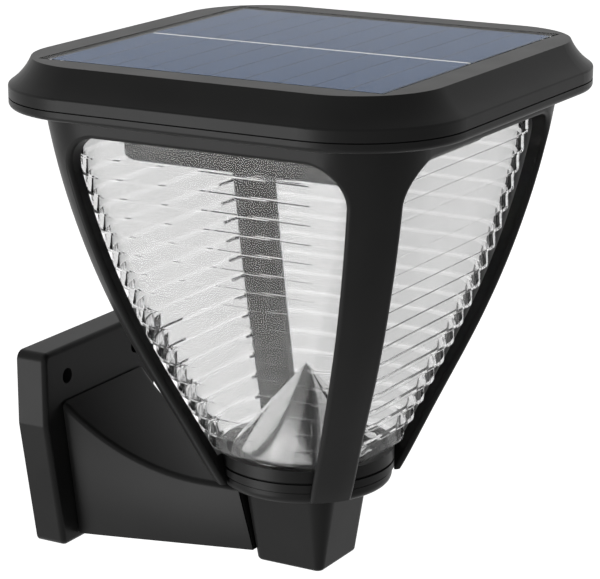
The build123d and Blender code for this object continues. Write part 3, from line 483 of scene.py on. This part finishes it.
PART_BLACK = Finish("moulded_part", grey(0.03), grey(0.045), rough=0.45, wear=0.1)
BUTTON_RUBBER = Finish("button_rubber", grey(0.06), grey(0.08), rough=0.6)
LAMP_WHITE = Finish("lamp_board_white", (0.8, 0.8, 0.79), (0.74, 0.74, 0.73), rough=0.35)
CHIP_YELLOW = Finish("phosphor", (0.8, 0.6, 0.12), (0.75, 0.55, 0.1), rough=0.5)
LEAD_RED = Finish("red_wire", (0.45, 0.02, 0.02), (0.38, 0.015, 0.015), rough=0.45)
LEAD_WHITE = Finish("white_wire", (0.7, 0.7, 0.68), (0.62, 0.62, 0.6), rough=0.45)


class Body(Enum):
    """Bodies of the frame that new pieces ride on."""

    LANTERN = "lantern"
    HEAD = "head"


def skin(shape: BMesh, rings: Sequence[Sequence[Vector]], capped: bool = True) -> None:
    """Skins closed rings of points, with a face over each end or the last ring joined to the first.

    Args:
        shape: Mesh to add to.
        rings: Rings with the same number of points.
        capped: Whether the ends get faces; otherwise the rings run round in a loop.
    """
    rows = [[shape.verts.new(point) for point in ring] for ring in rings]
    pairs = list(zip(rows, rows[1:]))
    if capped:
        shape.faces.new(rows[0][::-1])
        shape.faces.new(rows[-1])
    else:
        pairs.append((rows[-1], rows[0]))
    count = len(rows[0])
    for low, high in pairs:
        for i in range(count):
            j = (i + 1) % count
            shape.faces.new((low[i], low[j], high[j], high[i]))


def rounded_square(half: float, corner: float, z: float) -> List[Vector]:
    """Rounded square about the lantern's axis.

    Args:
        half: Half width in millimetres.
        corner: Corner radius; as large as the half width, it makes a circle.
        z: Height.

    Returns:
        The points in metres.
    """
    points = []
    for quarter, (sx, sy) in enumerate(CORNERS):
        for step in range(CORNER_STEPS + 1):
            angle = math.radians(90.0 * (quarter + step / CORNER_STEPS))
            x_at = sx * (half - corner) + corner * math.cos(angle)
            y_at = AXIS_Y + sy * (half - corner) + corner * math.sin(angle)
            points.append(Vector((x_at, y_at, z)) * MM)
    return points


def place(x: float, y: float, z: float, along: Triple) -> Matrix:
    """Frame in metres, at a place in millimetres, whose +Z points along a direction."""
    turn = Vector(along).to_track_quat("Z", "Y").to_matrix().to_4x4()
    return Matrix.Translation(Vector((x, y, z)) * MM) @ turn


def at_corners(x: float, y: float, z: float, along: Triple, middle: float = AXIS_Y) -> List[Matrix]:
    """Frames at the corners of a level rectangle, x and y being its halves in millimetres."""
    return [place(sx * x, middle + sy * y, z, along) for sx, sy in CORNERS]


@dataclass(frozen=True)
class PanScrew:
    """Pan-head screw with a cross recess and a thread, sizes in millimetres.

    Attributes:
        shank_r: Radius over the thread.
        length: Length under the head.
        head_r: Radius of the head.
        head_h: Height of the head.
        pitch: Pitch of the thread.
        thread_deep: Depth of the thread.
        turns: Points round the screw.
        HEAD_RINGS: Rings over the dome, as shares of the head's radius.
        RIM_DROP: Share of the head's height that the dome falls to its rim.
        RIM_POWER: How late that fall comes.
        CROSS_HALF: Half width of the recess's arms, in shares of the head's radius.
        CROSS_REACH: Reach of the arms, in the same shares.
        CROSS_DEEP: Depth of the recess, as a share of the head's height.
        RINGS_PER_PITCH: Rings along one turn of the thread.
        TIP_SHARE: Share of the radius left at the tip.
        TIP_TURNS: Turns of thread in which the whole radius would taper.
    """

    shank_r: float
    length: float
    head_r: float
    head_h: float
    pitch: float = 1.0
    thread_deep: float = 0.25
    turns: int = 32

    HEAD_RINGS = (0.06, 0.2, 0.34, 0.48, 0.62, 0.8, 0.92, 1.0)
    RIM_DROP, RIM_POWER = 0.45, 4
    CROSS_HALF, CROSS_REACH, CROSS_DEEP = 0.14, 0.55, 0.5
    RINGS_PER_PITCH = 5
    TIP_SHARE, TIP_TURNS = 0.55, 2.0

    def add_to(self, shape: BMesh, at: Matrix) -> None:
        """Adds the screw with the underside of its head at a place and its shank along +Z.

        Args:
            shape: Mesh to add to.
            at: Place and direction.
        """
        rings = [self._ring(at, share * self.head_r, None) for share in self.HEAD_RINGS]
        rings.append(self._ring(at, self.head_r, 0.0))
        steps = int(self.length / self.pitch * self.RINGS_PER_PITCH)
        for step in range(steps + 1):
            rings.append(self._ring(at, self.shank_r, self.length * step / steps))
        skin(shape, rings)

    def _ring(self, at: Matrix, radius: float, z: Optional[float]) -> List[Vector]:
        """One ring of points.

        Args:
            at: Place and direction of the screw.
            radius: Radius of the ring.
            z: Height along the shank, or nothing for the head's dome.

        Returns:
            The points in metres.
        """
        points = []
        for index in range(self.turns):
            angle = math.tau * index / self.turns
            reach, high = radius, z
            if z is None:
                high = self._dome(radius, angle)
            elif z > 0.0:
                phase = (z / self.pitch - index / self.turns) % 1.0
                left = (self.length - z) / (self.TIP_TURNS * self.pitch)
                tip = min(1.0, left + self.TIP_SHARE)
                reach = (radius - self.thread_deep * abs(2.0 * phase - 1.0)) * tip
            point = Vector((reach * math.cos(angle), reach * math.sin(angle), high))
            points.append(at @ (point * MM))
        return points

    def _dome(self, radius: float, angle: float) -> float:
        """Height of the head's outside, with its cross recess.

        Args:
            radius: Distance from the axis.
            angle: Angle round the axis.

        Returns:
            The height, below zero.
        """
        high = -self.head_h * (1.0 - self.RIM_DROP * (radius / self.head_r) ** self.RIM_POWER)
        x, y = abs(radius * math.cos(angle)), abs(radius * math.sin(angle))
        in_arm = min(x, y) < self.CROSS_HALF * self.head_r
        if in_arm and max(x, y) < self.CROSS_REACH * self.head_r:
            high += self.CROSS_DEEP * self.head_h
        return high


class SubAssembly(ABC):
    """Group of pieces that belong together.

    Attributes:
        body: Body that its new pieces ride on.
        finishes: Finishes of the solids that show as they are, by node.
    """

    body: ClassVar[Body]
    finishes: ClassVar[Dict[str, Finish]]

    @abstractmethod
    def build(self) -> None:
        """Makes the pieces that the solids don't have."""

    def dress(self) -> None:
        """Gives the solids their finishes."""
        for node, finish in self.finishes.items():
            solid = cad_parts[node].data
            solid.materials.clear()
            solid.materials.append(finish.make())
            for polygon in solid.polygons:
                polygon.material_index = 0
            LOG.info("%s in %s", node, finish.name)

    def add(
        self, name: str, shape: BMesh, slot: Slot, finish: Finish,
        node: Optional[str] = None, crease_deg: float = 35.0,
    ) -> None:
        """Puts a new piece on the frame.

        Args:
            name: Name of the piece.
            shape: Its mesh in metres, in the row frame; it is freed here.
            slot: Slot of the record; not used.
            finish: Its finish.
            node: Solid that it stands for, if it stands for one.
            crease_deg: Edges over this angle stay sharp.
        """
        bmesh.ops.recalc_face_normals(shape, faces=shape.faces)
        mesh = bpy.data.meshes.new(name)
        shape.to_mesh(mesh)
        shape.free()
        for polygon in mesh.polygons:
            polygon.use_smooth = True
        mesh.set_sharp_from_angle(angle=math.radians(crease_deg))
        mesh.materials.append(finish.make())
        piece = bpy.data.objects.new(name, mesh)
        bpy.context.scene.collection.objects.link(piece)
        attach(piece, self.body.value)
        if node is not None:
            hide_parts(node)
        LOG.info("%s in %s", name, finish.name)

    def screws(self, screw: PanScrew, places: Sequence[Matrix], node: str) -> None:
        """Makes one set of equal screws in place of a node.

        Args:
            screw: The screw.
            places: Places and directions.
            node: Solid that they stand for.
        """
        shape = bmesh.new()
        for at in places:
            screw.add_to(shape, at)
        self.add(f"{node}_cut", shape, Slot.STEEL, SCREW_STEEL, node)


@dataclass
class WallBracket(SubAssembly):
    """Wall plate and arm, and the socket on the arm's end, sizes in millimetres.

    Attributes:
        draft_deg: Draft of the socket's back wall.
        screw_at: Height of each arm screw, with the back wall's distance from the axis there.
        wall: Thickness of the arm's end.
        screw: Screw that holds arm and socket together.
        skin_ends: Where the arm's flared skin starts at the socket and ends in the plate.
        skin_levels: Sections of the skin.
        flare: Widening of each side at the wall.
        flare_from: Where the widening starts.
        foot_half: Half width of the arm at the socket's foot.
        socket_foot_z: Height of the socket's foot.
        flat_z: Flat part of the arm's top.
        climb: Where the skin's top begins to climb, and the radius of the climb.
        solid_climb: The same of the solid's own top.
        under: Height of the arm's underside at the skin's start.
        under_fall: Fall of the underside per millimetre towards the wall.
        edge_r: Round along the upper edges.
        proud: How far the skin stands off the solid.
        sunk: How deep the skin's inside lies in the solid's wall; the hollow arm stays open.
        EDGE_ARC_DEG: Points along the round of an upper edge.
    """

    draft_deg: float = 9.1
    screw_at: Tuple[Tuple[float, float], ...] = ((-41.8, 13.954), (-36.9, 14.739))
    wall: float = 2.8
    screw: PanScrew = PanScrew(1.45, 5.8, 2.8, 1.6)
    skin_ends: Tuple[float, float] = (-73.85, -11.6)
    skin_levels: int = 40
    flare: float = 5.4
    flare_from: float = -78.0
    foot_half: float = 12.0
    socket_foot_z: float = -54.0
    flat_z: float = -28.5
    climb: Tuple[float, float] = (-61.0, 70.0)
    solid_climb: Tuple[float, float] = (-52.0, 55.0)
    under: float = -50.55
    under_fall: float = 0.0889
    edge_r: float = 2.0
    proud: float = 0.05
    sunk: float = 1.0

    EDGE_ARC_DEG = (30.0, 60.0, 90.0)
    body = Body.LANTERN
    finishes = {"wall_bracket": BLACK_PLASTIC, "socket": BLACK_PLASTIC}

    def build(self) -> None:
        """Makes the arm's flared skin and the arm screws, whose heads sit inside the arm's end."""
        self.add("arm_skin", self._skin(), Slot.BLACK, BLACK_PLASTIC)
        draft = math.radians(self.draft_deg)
        out = Vector((0.0, math.cos(draft), -math.sin(draft)))
        places = []
        for z, half in self.screw_at:
            spot = Vector((0.0, AXIS_Y + half, z)) + out * self.wall
            places.append(place(*spot, tuple(-out)))
        self.screws(self.screw, places, "arm_screws")

    def _skin(self) -> BMesh:
        """Skin round the arm, whose inside is buried in the solid's wall.

        Returns:
            The mesh.
        """
        shape = bmesh.new()
        start, end = self.skin_ends
        step = (end - start) / self.skin_levels
        places = [start + step * level for level in range(self.skin_levels + 1)]
        outer = [self._section(y, self.climb, self.flare, self.proud) for y in places]
        inner = [self._section(y, self.solid_climb, 0.0, -self.sunk) for y in places]
        skin(shape, outer + inner[::-1], capped=False)
        return shape

    def _section(
        self, y: float, climb: Tuple[float, float], flare: float, off: float
    ) -> List[Vector]:
        """Section across the arm: drafted sides that flare to the wall, round upper edges.

        Args:
            y: Place along the arm, out from the wall.
            climb: Where the top begins to climb, and the radius of the climb.
            flare: Widening of each side at the wall.
            off: Distance outside the solid's faces.

        Returns:
            The points in metres.
        """
        start, end = self.skin_ends
        climb_from, climb_r = climb
        run = max(0.0, y - climb_from)
        top = self.flat_z + climb_r - math.sqrt(climb_r**2 - run**2) + off
        under = self.under - self.under_fall * (y - start) - off
        shoulder = top - self.edge_r
        slope = math.tan(math.radians(self.draft_deg))
        half = self.foot_half + off + flare * (y - self.flare_from) / -self.flare_from
        low, high = (half + slope * (z - self.socket_foot_z) for z in (under, shoulder))
        side = [(low, under), (high, shoulder)]
        for turn in map(math.radians, self.EDGE_ARC_DEG):
            in_x, in_z = (self.edge_r * (1.0 - share) for share in (math.cos(turn), math.sin(turn)))
            side.append((high - in_x, top - in_z))
        lean = slope * (end - y) / (end - start)
        points = side + [(-x, z) for x, z in reversed(side)]
        return [Vector((x, y - lean * (top - z), z)) * MM for x, z in points]


@dataclass
class Foot(SubAssembly):
    """Round collar under the lantern with the mirrored cone on it, sizes in millimetres.

    Attributes:
        floor_z: Top of the collar's floor.
        under_z: Underside of the collar's floor.
        boss_at: Axis to each socket boss, along x and y.
        post_screw_z: Height of the post screws.
        post_screw_r: Axis to the post screws' heads.
        collar_screw: Screw into the socket.
        cone_screw: Screw into the cone.
        post_screw: Screw into a post's end.
    """

    floor_z: float = -24.7
    under_z: float = -27.2
    boss_at: float = 9.6
    post_screw_z: float = -22.45
    post_screw_r: float = 25.3
    collar_screw: PanScrew = PanScrew(1.45, 15.9, 2.8, 1.6)
    cone_screw: PanScrew = PanScrew(1.45, 11.9, 2.8, 1.6)
    post_screw: PanScrew = PanScrew(1.1, 5.6, 2.1, 1.3, pitch=0.8)

    body = Body.LANTERN
    finishes = {"collar": BLACK_PLASTIC, "reflector_cone": CONE_MIRROR}

    def build(self) -> None:
        """Makes the screws of collar, cone and posts."""
        bosses = at_corners(self.boss_at, self.boss_at, self.floor_z, DOWN)
        middle = [place(0.0, AXIS_Y, self.under_z, UP)]
        posts = []
        reach = self.post_screw_r * math.sqrt(0.5)
        for sx, sy in CORNERS:
            outwards = (sx, sy, 0.0)
            posts.append(place(sx * reach, AXIS_Y + sy * reach, self.post_screw_z, outwards))
        self.screws(self.collar_screw, bosses, "collar_screws")
        self.screws(self.cone_screw, middle, "cone_screw")
        self.screws(self.post_screw, posts, "post_screws")


@dataclass
class Shade(SubAssembly):
    """Bowed cage with the clear stepped shade in it, sizes in millimetres.

    Attributes:
        foot_half: Half width of the cage's foot.
        foot_z: Height of the cage's foot.
        flank_deg: Lean of the cage's straight flank.
        flank_h: Height of that flank.
        bow_r: Radius of the long bow above it.
        low_z: Top of the collar, where the steps begin.
        high_z: Top of the windows.
        inset: Shade's face behind the cage's face, at the collar and at the window top.
        corner: Corner radius at the collar and at the window top.
        first_ledge_z: Height of the highest ledge's top.
        steps: Ledges from top to foot.
        pitch: Distance from ledge to ledge.
        ledge_h: Height of a ledge's slope.
        wall: Thickness of the wall, which follows the steps inside.
        flange_z: Underside of the flange.
        top_z: Top of the flange.
        flange_half: Half width of the flange.
        flange_corner: Corner radius of the flange.
        spigot_r: Radius of the round spigot in the collar.
        spigot_z: Foot of the spigot.
        floor_t: Thickness of the floor over the spigot.
        bore_r: Radius of the opening for the cone.
        crease_deg: Edges of the shade over this angle stay sharp.
    """

    foot_half: float = 27.4
    foot_z: float = -25.2
    flank_deg: float = 21.8
    flank_h: float = 38.0
    bow_r: float = 340.0
    low_z: float = -15.6
    high_z: float = 91.25
    inset: Tuple[float, float] = (4.6, 8.2)
    corner: Tuple[float, float] = (20.5, 12.0)
    first_ledge_z: float = 83.15
    steps: int = 17
    pitch: float = 6.05
    ledge_h: float = 0.6
    wall: float = 2.4
    flange_z: float = 92.85
    top_z: float = 94.65
    flange_half: float = 60.03
    flange_corner: float = 20.25
    spigot_r: float = 25.4
    spigot_z: float = -18.6
    floor_t: float = 1.5
    bore_r: float = 23.3
    crease_deg: float = 20.0

    body = Body.LANTERN
    finishes = {"cage": BLACK_PLASTIC, "diffuser_seal": SEAL_RUBBER}

    def build(self) -> None:
        """Makes the clear shade with an even wall, whose inside follows the steps."""
        outside = self._levels()
        inside = [(half - self.wall, corner - self.wall, z) for half, corner, z in outside]
        floor_z = self.low_z + self.floor_t
        spigot = [(self.spigot_r, self.spigot_r, z) for z in (self.spigot_z, self.low_z)]
        neck = [(*outside[-1][:2], self.flange_z)]
        flange = [(self.flange_half, self.flange_corner, z) for z in (self.flange_z, self.top_z)]
        inner = [(*inside[-1][:2], self.top_z), *inside[::-1], (*inside[0][:2], floor_z)]
        bore = [(self.bore_r, self.bore_r, z) for z in (floor_z, self.spigot_z)]
        levels = spigot + outside + neck + flange + inner + bore
        shape = bmesh.new()
        skin(shape, [rounded_square(*level) for level in levels], capped=False)
        self.add(
            "stepped_shade", shape, Slot.DIFFUSER, CLEAR_DIFFUSER, "diffuser", self.crease_deg
        )

    def _levels(self) -> List[Triple]:
        """Outside of the steps from the lowest to the highest.

        Returns:
            Half width, corner radius and height of each edge.
        """
        levels = []
        for step in reversed(range(self.steps)):
            low = self.first_ledge_z - step * self.pitch
            high = low + self.pitch - self.ledge_h
            middle = (low + high) / 2.0
            corner = self._between(middle, *self.corner)
            half = self._cage_half(middle) - self._between(middle, *self.inset)
            levels += [(half, corner, low), (half, corner, high)]
        return levels[:-1]

    def _between(self, z: float, low: float, high: float) -> float:
        """Value at a height, from the collar's to the window top's."""
        return low + (high - low) * (z - self.low_z) / (self.high_z - self.low_z)

    def _cage_half(self, z: float) -> float:
        """Half width of the cage: a straight flank, then a long bow.

        Args:
            z: Height.

        Returns:
            The half width.
        """
        lean = math.radians(self.flank_deg)
        if z <= self.foot_z + self.flank_h:
            return self.foot_half + (z - self.foot_z) * math.tan(lean)
        bow_half = self.foot_half + self.flank_h * math.tan(lean)
        middle_z = self.foot_z + self.flank_h + self.bow_r * math.sin(lean)
        out = math.sqrt(self.bow_r**2 - (z - middle_z) ** 2)
        return bow_half - self.bow_r * math.cos(lean) + out


@dataclass
class Head(SubAssembly):
    """Lid over tray with the seal between them, sizes in millimetres.

    Attributes:
        screw_at: Axis to each head screw, along x and y.
        tray_under_z: Underside of the tray, where the screws' heads sit.
        screw: Screw up into the lid.
    """

    screw_at: float = 48.5
    tray_under_z: float = 97.8
    screw: PanScrew = PanScrew(1.45, 8.6, 2.8, 1.6)

    body = Body.HEAD
    finishes = {"lid_shell": BLACK_PLASTIC, "tray": BLACK_PLASTIC, "head_seal": SEAL_RUBBER}

    def build(self) -> None:
        """Makes the four head screws."""
        places = at_corners(self.screw_at, self.screw_at, self.tray_under_z, UP)
        self.screws(self.screw, places, "head_screws")


@dataclass
class SolarPanel(SubAssembly):
    """Clear sheet over two rows of cell strips, a tinned ribbon between them, in millimetres.

    Attributes:
        half: Half width of the sheet.
        corner_r: Corner radius of the sheet.
        bevel: Bevel round the sheet's upper edge.
        under_z: Underside of the sheet, just clear of the cells.
        top_z: Top of the sheet.
        cells_half: Half length of the ribbon.
        strips: Cell strips in a row.
        strip_pitch: Distance from strip to strip.
        ribbon_w: Width of the ribbon.
        ribbon_low_z: Underside of the ribbon.
        ribbon_high_z: Top of the ribbon's crown.
        ribbon_steps: Sections along the ribbon.
        crown_fall: Fall of the crown to the ribbon's edges.
        mound_h: Height of a solder mound over the crown.
        mound_l: Length of a solder mound.
        CROWN: Points across the crown, as shares of the half width.
    """

    half: float = 58.2
    corner_r: float = 0.8
    bevel: float = 0.25
    under_z: float = 112.08
    top_z: float = 112.8
    cells_half: float = 55.8
    strips: int = 10
    strip_pitch: float = 11.25
    ribbon_w: float = 1.7
    ribbon_low_z: float = 111.61
    ribbon_high_z: float = 112.0
    ribbon_steps: int = 280
    crown_fall: float = 0.12
    mound_h: float = 0.06
    mound_l: float = 2.2

    CROWN = (1.0, 0.7, 0.0, -0.7, -1.0)
    body = Body.HEAD
    finishes = {
        "panel_board": PANEL_BACKING, "solar_cells": CELL_SILICON, "panel_leads": LEAD_RED
    }

    def build(self) -> None:
        """Makes the clear sheet and the ribbon."""
        self.add("panel_sheet", self._sheet(), Slot.PANEL, PANEL_SHEET, "panel_cover")
        self.add("tab_ribbon", self._ribbon(), Slot.TAB, TINNED_TAB, "cell_tabs")

    def _sheet(self) -> BMesh:
        """Clear sheet with round corners and a bevelled upper edge.

        Returns:
            The mesh.
        """
        shape = bmesh.new()
        rim_z = self.top_z - self.bevel
        rings = [rounded_square(self.half, self.corner_r, z) for z in (self.under_z, rim_z)]
        face = rounded_square(self.half - self.bevel, self.corner_r - self.bevel, self.top_z)
        skin(shape, rings + [face])
        return shape

    def _ribbon(self) -> BMesh:
        """Crowned ribbon with a solder mound at every strip.

        Returns:
            The mesh.
        """
        shape = bmesh.new()
        rings = []
        for step in range(self.ribbon_steps + 1):
            along = -self.cells_half + 2.0 * self.cells_half * step / self.ribbon_steps
            nearest = (along / self.strip_pitch + self.strips / 2.0 - 0.5) % 1.0
            off = min(nearest, 1.0 - nearest) * self.strip_pitch / (self.mound_l / 2.0)
            rise = self.mound_h * max(0.0, 1.0 - off * off)
            rings.append(self._section(along, rise))
        skin(shape, rings)
        return shape

    def _section(self, along: float, rise: float) -> List[Vector]:
        """Section across the ribbon.

        Args:
            along: Distance along the ribbon from its middle.
            rise: How far the solder stands over the crown.

        Returns:
            The points in metres.
        """
        points = [(1.0, self.ribbon_low_z)]
        for share in self.CROWN:
            fall = share * share
            z = self.ribbon_high_z + rise * (1.0 - fall) - self.crown_fall * fall
            points.append((share, z))
        points.append((-1.0, self.ribbon_low_z))
        half, y = self.ribbon_w / 2.0, AXIS_Y + along
        return [Vector((share * half, y, z)) * MM for share, z in points]


@dataclass
class PowerUnit(SubAssembly):
    """Cell, control board and switch in the tray's well, sizes in millimetres.

    Attributes:
        board_top_z: Top of the control board.
        board_y: Board's middle from the lantern's axis.
        hole_x: Board's middle to each fixing hole, along x.
        hole_y: Board's middle to each fixing hole, along y.
        screw: Screw that holds the board.
    """

    board_top_z: float = 91.3
    board_y: float = -19.5
    hole_x: float = 27.0
    hole_y: float = 11.5
    screw: PanScrew = PanScrew(1.1, 5.1, 2.1, 1.3, pitch=0.8)

    body = Body.HEAD
    finishes = {
        "battery_holder": HOLDER_PLASTIC, "battery_cell": CELL_WRAP,
        "battery_contacts": CONTACT_METAL, "control_board": BOARD_GREEN,
        "board_parts": PART_BLACK, "switch_body": PART_BLACK,
        "switch_button": BUTTON_RUBBER, "battery_leads": LEAD_RED,
    }

    def build(self) -> None:
        """Makes the four board screws."""
        middle = AXIS_Y + self.board_y
        places = at_corners(self.hole_x, self.hole_y, self.board_top_z, DOWN, middle)
        self.screws(self.screw, places, "board_screws")


@dataclass
class Lamp(SubAssembly):
    """Lamp chips, one inside a ring of others, under a clear cover, sizes in millimetres.

    Attributes:
        ear_at: Axis to each ear of the cover.
        ear_under_z: Underside of the ears, where the screws' heads sit.
        chip_count: Chips on the ring.
        chip_ring_r: Radius of the ring.
        chip_w: Width of a chip.
        chip_top_z: Face of the chips on the board.
        chip_t: Height of a chip.
        pool_share: Phosphor pool's share of a chip's width.
        points: Points round a chip.
        screw: Screw that holds the cover.
        BLOCK: Rings of a chip's case, as shares of its half width and height.
        CUP: Rings of the cup in its face, as shares of the pool's radius and the height.
        POOL: Rings of the phosphor, in the same shares.
    """

    ear_at: float = 27.5
    ear_under_z: float = 78.5
    chip_count: int = 8
    chip_ring_r: float = 13.0
    chip_w: float = 3.5
    chip_top_z: float = 78.9
    chip_t: float = 0.8
    pool_share: float = 0.72
    points: int = 24
    screw: PanScrew = PanScrew(1.1, 7.7, 2.1, 1.3, pitch=0.8)

    BLOCK = ((1.0, 0.0), (1.0, 0.7), (0.94, 1.0))
    CUP = ((1.0, 1.0), (0.9, 0.55))
    POOL = ((0.93, 0.56), (0.93, 0.8), (0.7, 0.9), (0.4, 0.96), (0.1, 0.98))
    body = Body.HEAD
    finishes = {"lamp_board": LAMP_WHITE, "lamp_cover": CLEAR_COVER, "lamp_leads": LEAD_WHITE}

    def build(self) -> None:
        """Makes the cover's screws and the chips with their phosphor pools."""
        ears = [place(side * self.ear_at, AXIS_Y, self.ear_under_z, UP) for side in (1, -1)]
        self.screws(self.screw, ears, "lamp_screws")
        half = self.chip_w / 2.0
        cup = half * self.pool_share
        cases, pools = bmesh.new(), bmesh.new()
        for at in self._places():
            block = [self._ring(at, half * size, deep, True) for size, deep in self.BLOCK]
            skin(cases, block + [self._ring(at, cup * size, deep) for size, deep in self.CUP])
            skin(pools, [self._ring(at, cup * size, deep) for size, deep in self.POOL])
        self.add("chip_cases", cases, Slot.LAMP, LAMP_WHITE, "lamp_chips")
        self.add("chip_pools", pools, Slot.CHIP, CHIP_YELLOW, "lamp_chips")

    def _places(self) -> List[Matrix]:
        """Places of the chips on the board, the middle one first.

        Returns:
            The matrices in metres.
        """
        middle = Matrix.Translation(Vector((0.0, AXIS_Y, self.chip_top_z)) * MM)
        out = Matrix.Translation(Vector((self.chip_ring_r, 0.0, 0.0)) * MM)
        turns = [math.tau * index / self.chip_count for index in range(self.chip_count)]
        return [middle] + [middle @ Matrix.Rotation(turn, 4, "Z") @ out for turn in turns]

    def _ring(self, at: Matrix, size: float, deep: float, square: bool = False) -> List[Vector]:
        """Ring of points round a chip.

        Args:
            at: Place of the chip.
            size: Half width.
            deep: Height off the board, as a share of the chip's.
            square: Whether the ring is square instead of round.

        Returns:
            The points in metres.
        """
        points = []
        for step in range(self.points):
            angle = math.tau * step / self.points
            x, y = math.cos(angle), math.sin(angle)
            reach = size / max(abs(x), abs(y)) if square else size
            points.append(at @ (Vector((x * reach, y * reach, -deep * self.chip_t)) * MM))
        return points


@dataclass
class Camera:
    """Camera of the photograph.

    Attributes:
        place: Position in metres.
        yaw_deg: Heading from +X towards +Y.
        pitch_deg: How far it looks down.
        roll_deg: How far it is turned about its own axis.
        lens_mm: Focal length.
        sensor_mm: Width of the sensor.
    """

    place: Triple = (-0.6440, -0.4620, 0.2387)
    yaw_deg: float = 30.166
    pitch_deg: float = 15.3006
    roll_deg: float = -0.104
    lens_mm: float = 146.73
    sensor_mm: float = 36.0

    def build(self) -> None:
        """Makes the camera and hands it to the scene."""
        data = bpy.data.cameras.new("photo_camera")
        data.lens = self.lens_mm
        data.sensor_width = self.sensor_mm
        camera = bpy.data.objects.new("photo_camera", data)
        yaw, pitch = math.radians(self.yaw_deg), math.radians(self.pitch_deg)
        level = math.cos(pitch)
        ahead = Vector((math.cos(yaw) * level, math.sin(yaw) * level, -math.sin(pitch)))
        turn = ahead.to_track_quat("-Z", "Y").to_matrix().to_4x4()
        roll = Matrix.Rotation(math.radians(self.roll_deg), 4, "Z")
        camera.matrix_world = Matrix.Translation(Vector(self.place)) @ turn @ roll
        bpy.context.scene.collection.objects.link(camera)
        bpy.context.scene.camera = camera
        LOG.info("camera at %s", self.place)


@dataclass
class Studio:
    """Pale floor, white surround and one soft square lamp.

    Attributes:
        floor_z: Height of the floor.
        floor_half: Half width of the floor.
        floor_colour: Colour of the floor.
        floor_glow: What the floor adds to the light it throws back, to come out white.
        surround: Strength of the surround on matt surfaces.
        white: Colour of surround and glow.
        lamp_at: Position of the lamp.
        lamp_size: Edge length of the lamp.
        lamp_power: Power of the lamp in watts.
        aim: Point that the lamp faces.
    """

    floor_z: float = -1.2
    floor_half: float = 12.0
    floor_colour: Triple = grey(0.85)
    floor_glow: float = 0.6
    surround: float = 0.6
    white: Triple = grey(1.0)
    lamp_at: Triple = (-1.39, 0.71, -0.30)
    lamp_size: float = 0.9
    lamp_power: float = 30.0
    aim: Triple = (0.0, -0.09, 0.03)

    def build(self) -> None:
        """Makes floor, surround and lamp."""
        self._floor()
        self._world()
        self._lamp()
        bpy.context.scene.view_settings.view_transform = "Standard"

    def _floor(self) -> None:
        """Makes the floor: pale, with the shadow kept."""
        mesh = bpy.data.meshes.new("floor")
        corners = [(sx * self.floor_half, sy * self.floor_half, 0.0) for sx, sy in CORNERS]
        mesh.from_pydata(corners, [], [tuple(range(len(corners)))])
        floor = bpy.data.objects.new("floor", mesh)
        floor.location.z = self.floor_z
        bpy.context.scene.collection.objects.link(floor)
        material = bpy.data.materials.new("pale_floor")
        material.use_nodes = True
        graph = Graph(material.node_tree)
        matt = graph.feed(graph.add("ShaderNodeBsdfDiffuse"), Color=rgba(self.floor_colour))
        glow = graph.feed(graph.add("ShaderNodeEmission"), Color=rgba(self.white))
        graph.feed(glow, Strength=graph.math("MULTIPLY", self._seen(graph), self.floor_glow))
        both = graph.add("ShaderNodeAddShader")
        graph.put(matt.outputs[0], both.inputs[0])
        graph.put(glow.outputs[0], both.inputs[1])
        graph.feed(graph.add("ShaderNodeOutputMaterial"), Surface=both.outputs[0])
        mesh.materials.append(material)

    def _world(self) -> None:
        """Makes the white surround."""
        world = bpy.data.worlds.new("white_surround")
        world.use_nodes = True
        graph = Graph(world.node_tree)
        more = graph.math("MULTIPLY", self._seen(graph), 1.0 - self.surround)
        back = graph.feed(graph.add("ShaderNodeBackground"), Color=rgba(self.white))
        graph.feed(back, Strength=graph.math("ADD", more, self.surround))
        graph.feed(graph.add("ShaderNodeOutputWorld"), Surface=back.outputs[0])
        bpy.context.scene.world = world

    @staticmethod
    def _seen(graph: Graph) -> NodeSocket:
        """Mask of the rays that show the surround: seen directly, in a mirror or through glass.

        Args:
            graph: Graph to add the nodes to.

        Returns:
            The mask's socket.
        """
        path = graph.add("ShaderNodeLightPath").outputs
        seen = graph.math("MAXIMUM", path["Is Camera Ray"], path["Is Glossy Ray"])
        return graph.math("MAXIMUM", seen, path["Is Transmission Ray"])

    def _lamp(self) -> None:
        """Makes the lamp, aimed at the lantern."""
        data = bpy.data.lights.new("side_lamp", "AREA")
        data.size = self.lamp_size
        data.energy = self.lamp_power
        lamp = bpy.data.objects.new("side_lamp", data)
        lamp.location = self.lamp_at
        ahead = Vector(self.aim) - Vector(self.lamp_at)
        lamp.rotation_euler = ahead.to_track_quat("-Z", "Y").to_euler()
        bpy.context.scene.collection.objects.link(lamp)
        LOG.info("lamp at %s", self.lamp_at)


def main() -> None:
    """Builds and dresses the light, then the studio and the camera."""
    logging.basicConfig(level=logging.INFO, format="%(name)s: %(message)s")
    groups: List[SubAssembly] = [
        WallBracket(), Foot(), Shade(), Head(), SolarPanel(), PowerUnit(), Lamp()
    ]
    for group in groups:
        group.build()
        group.dress()
    Studio().build()
    Camera().build()


if __name__ == "__main__":
    main()
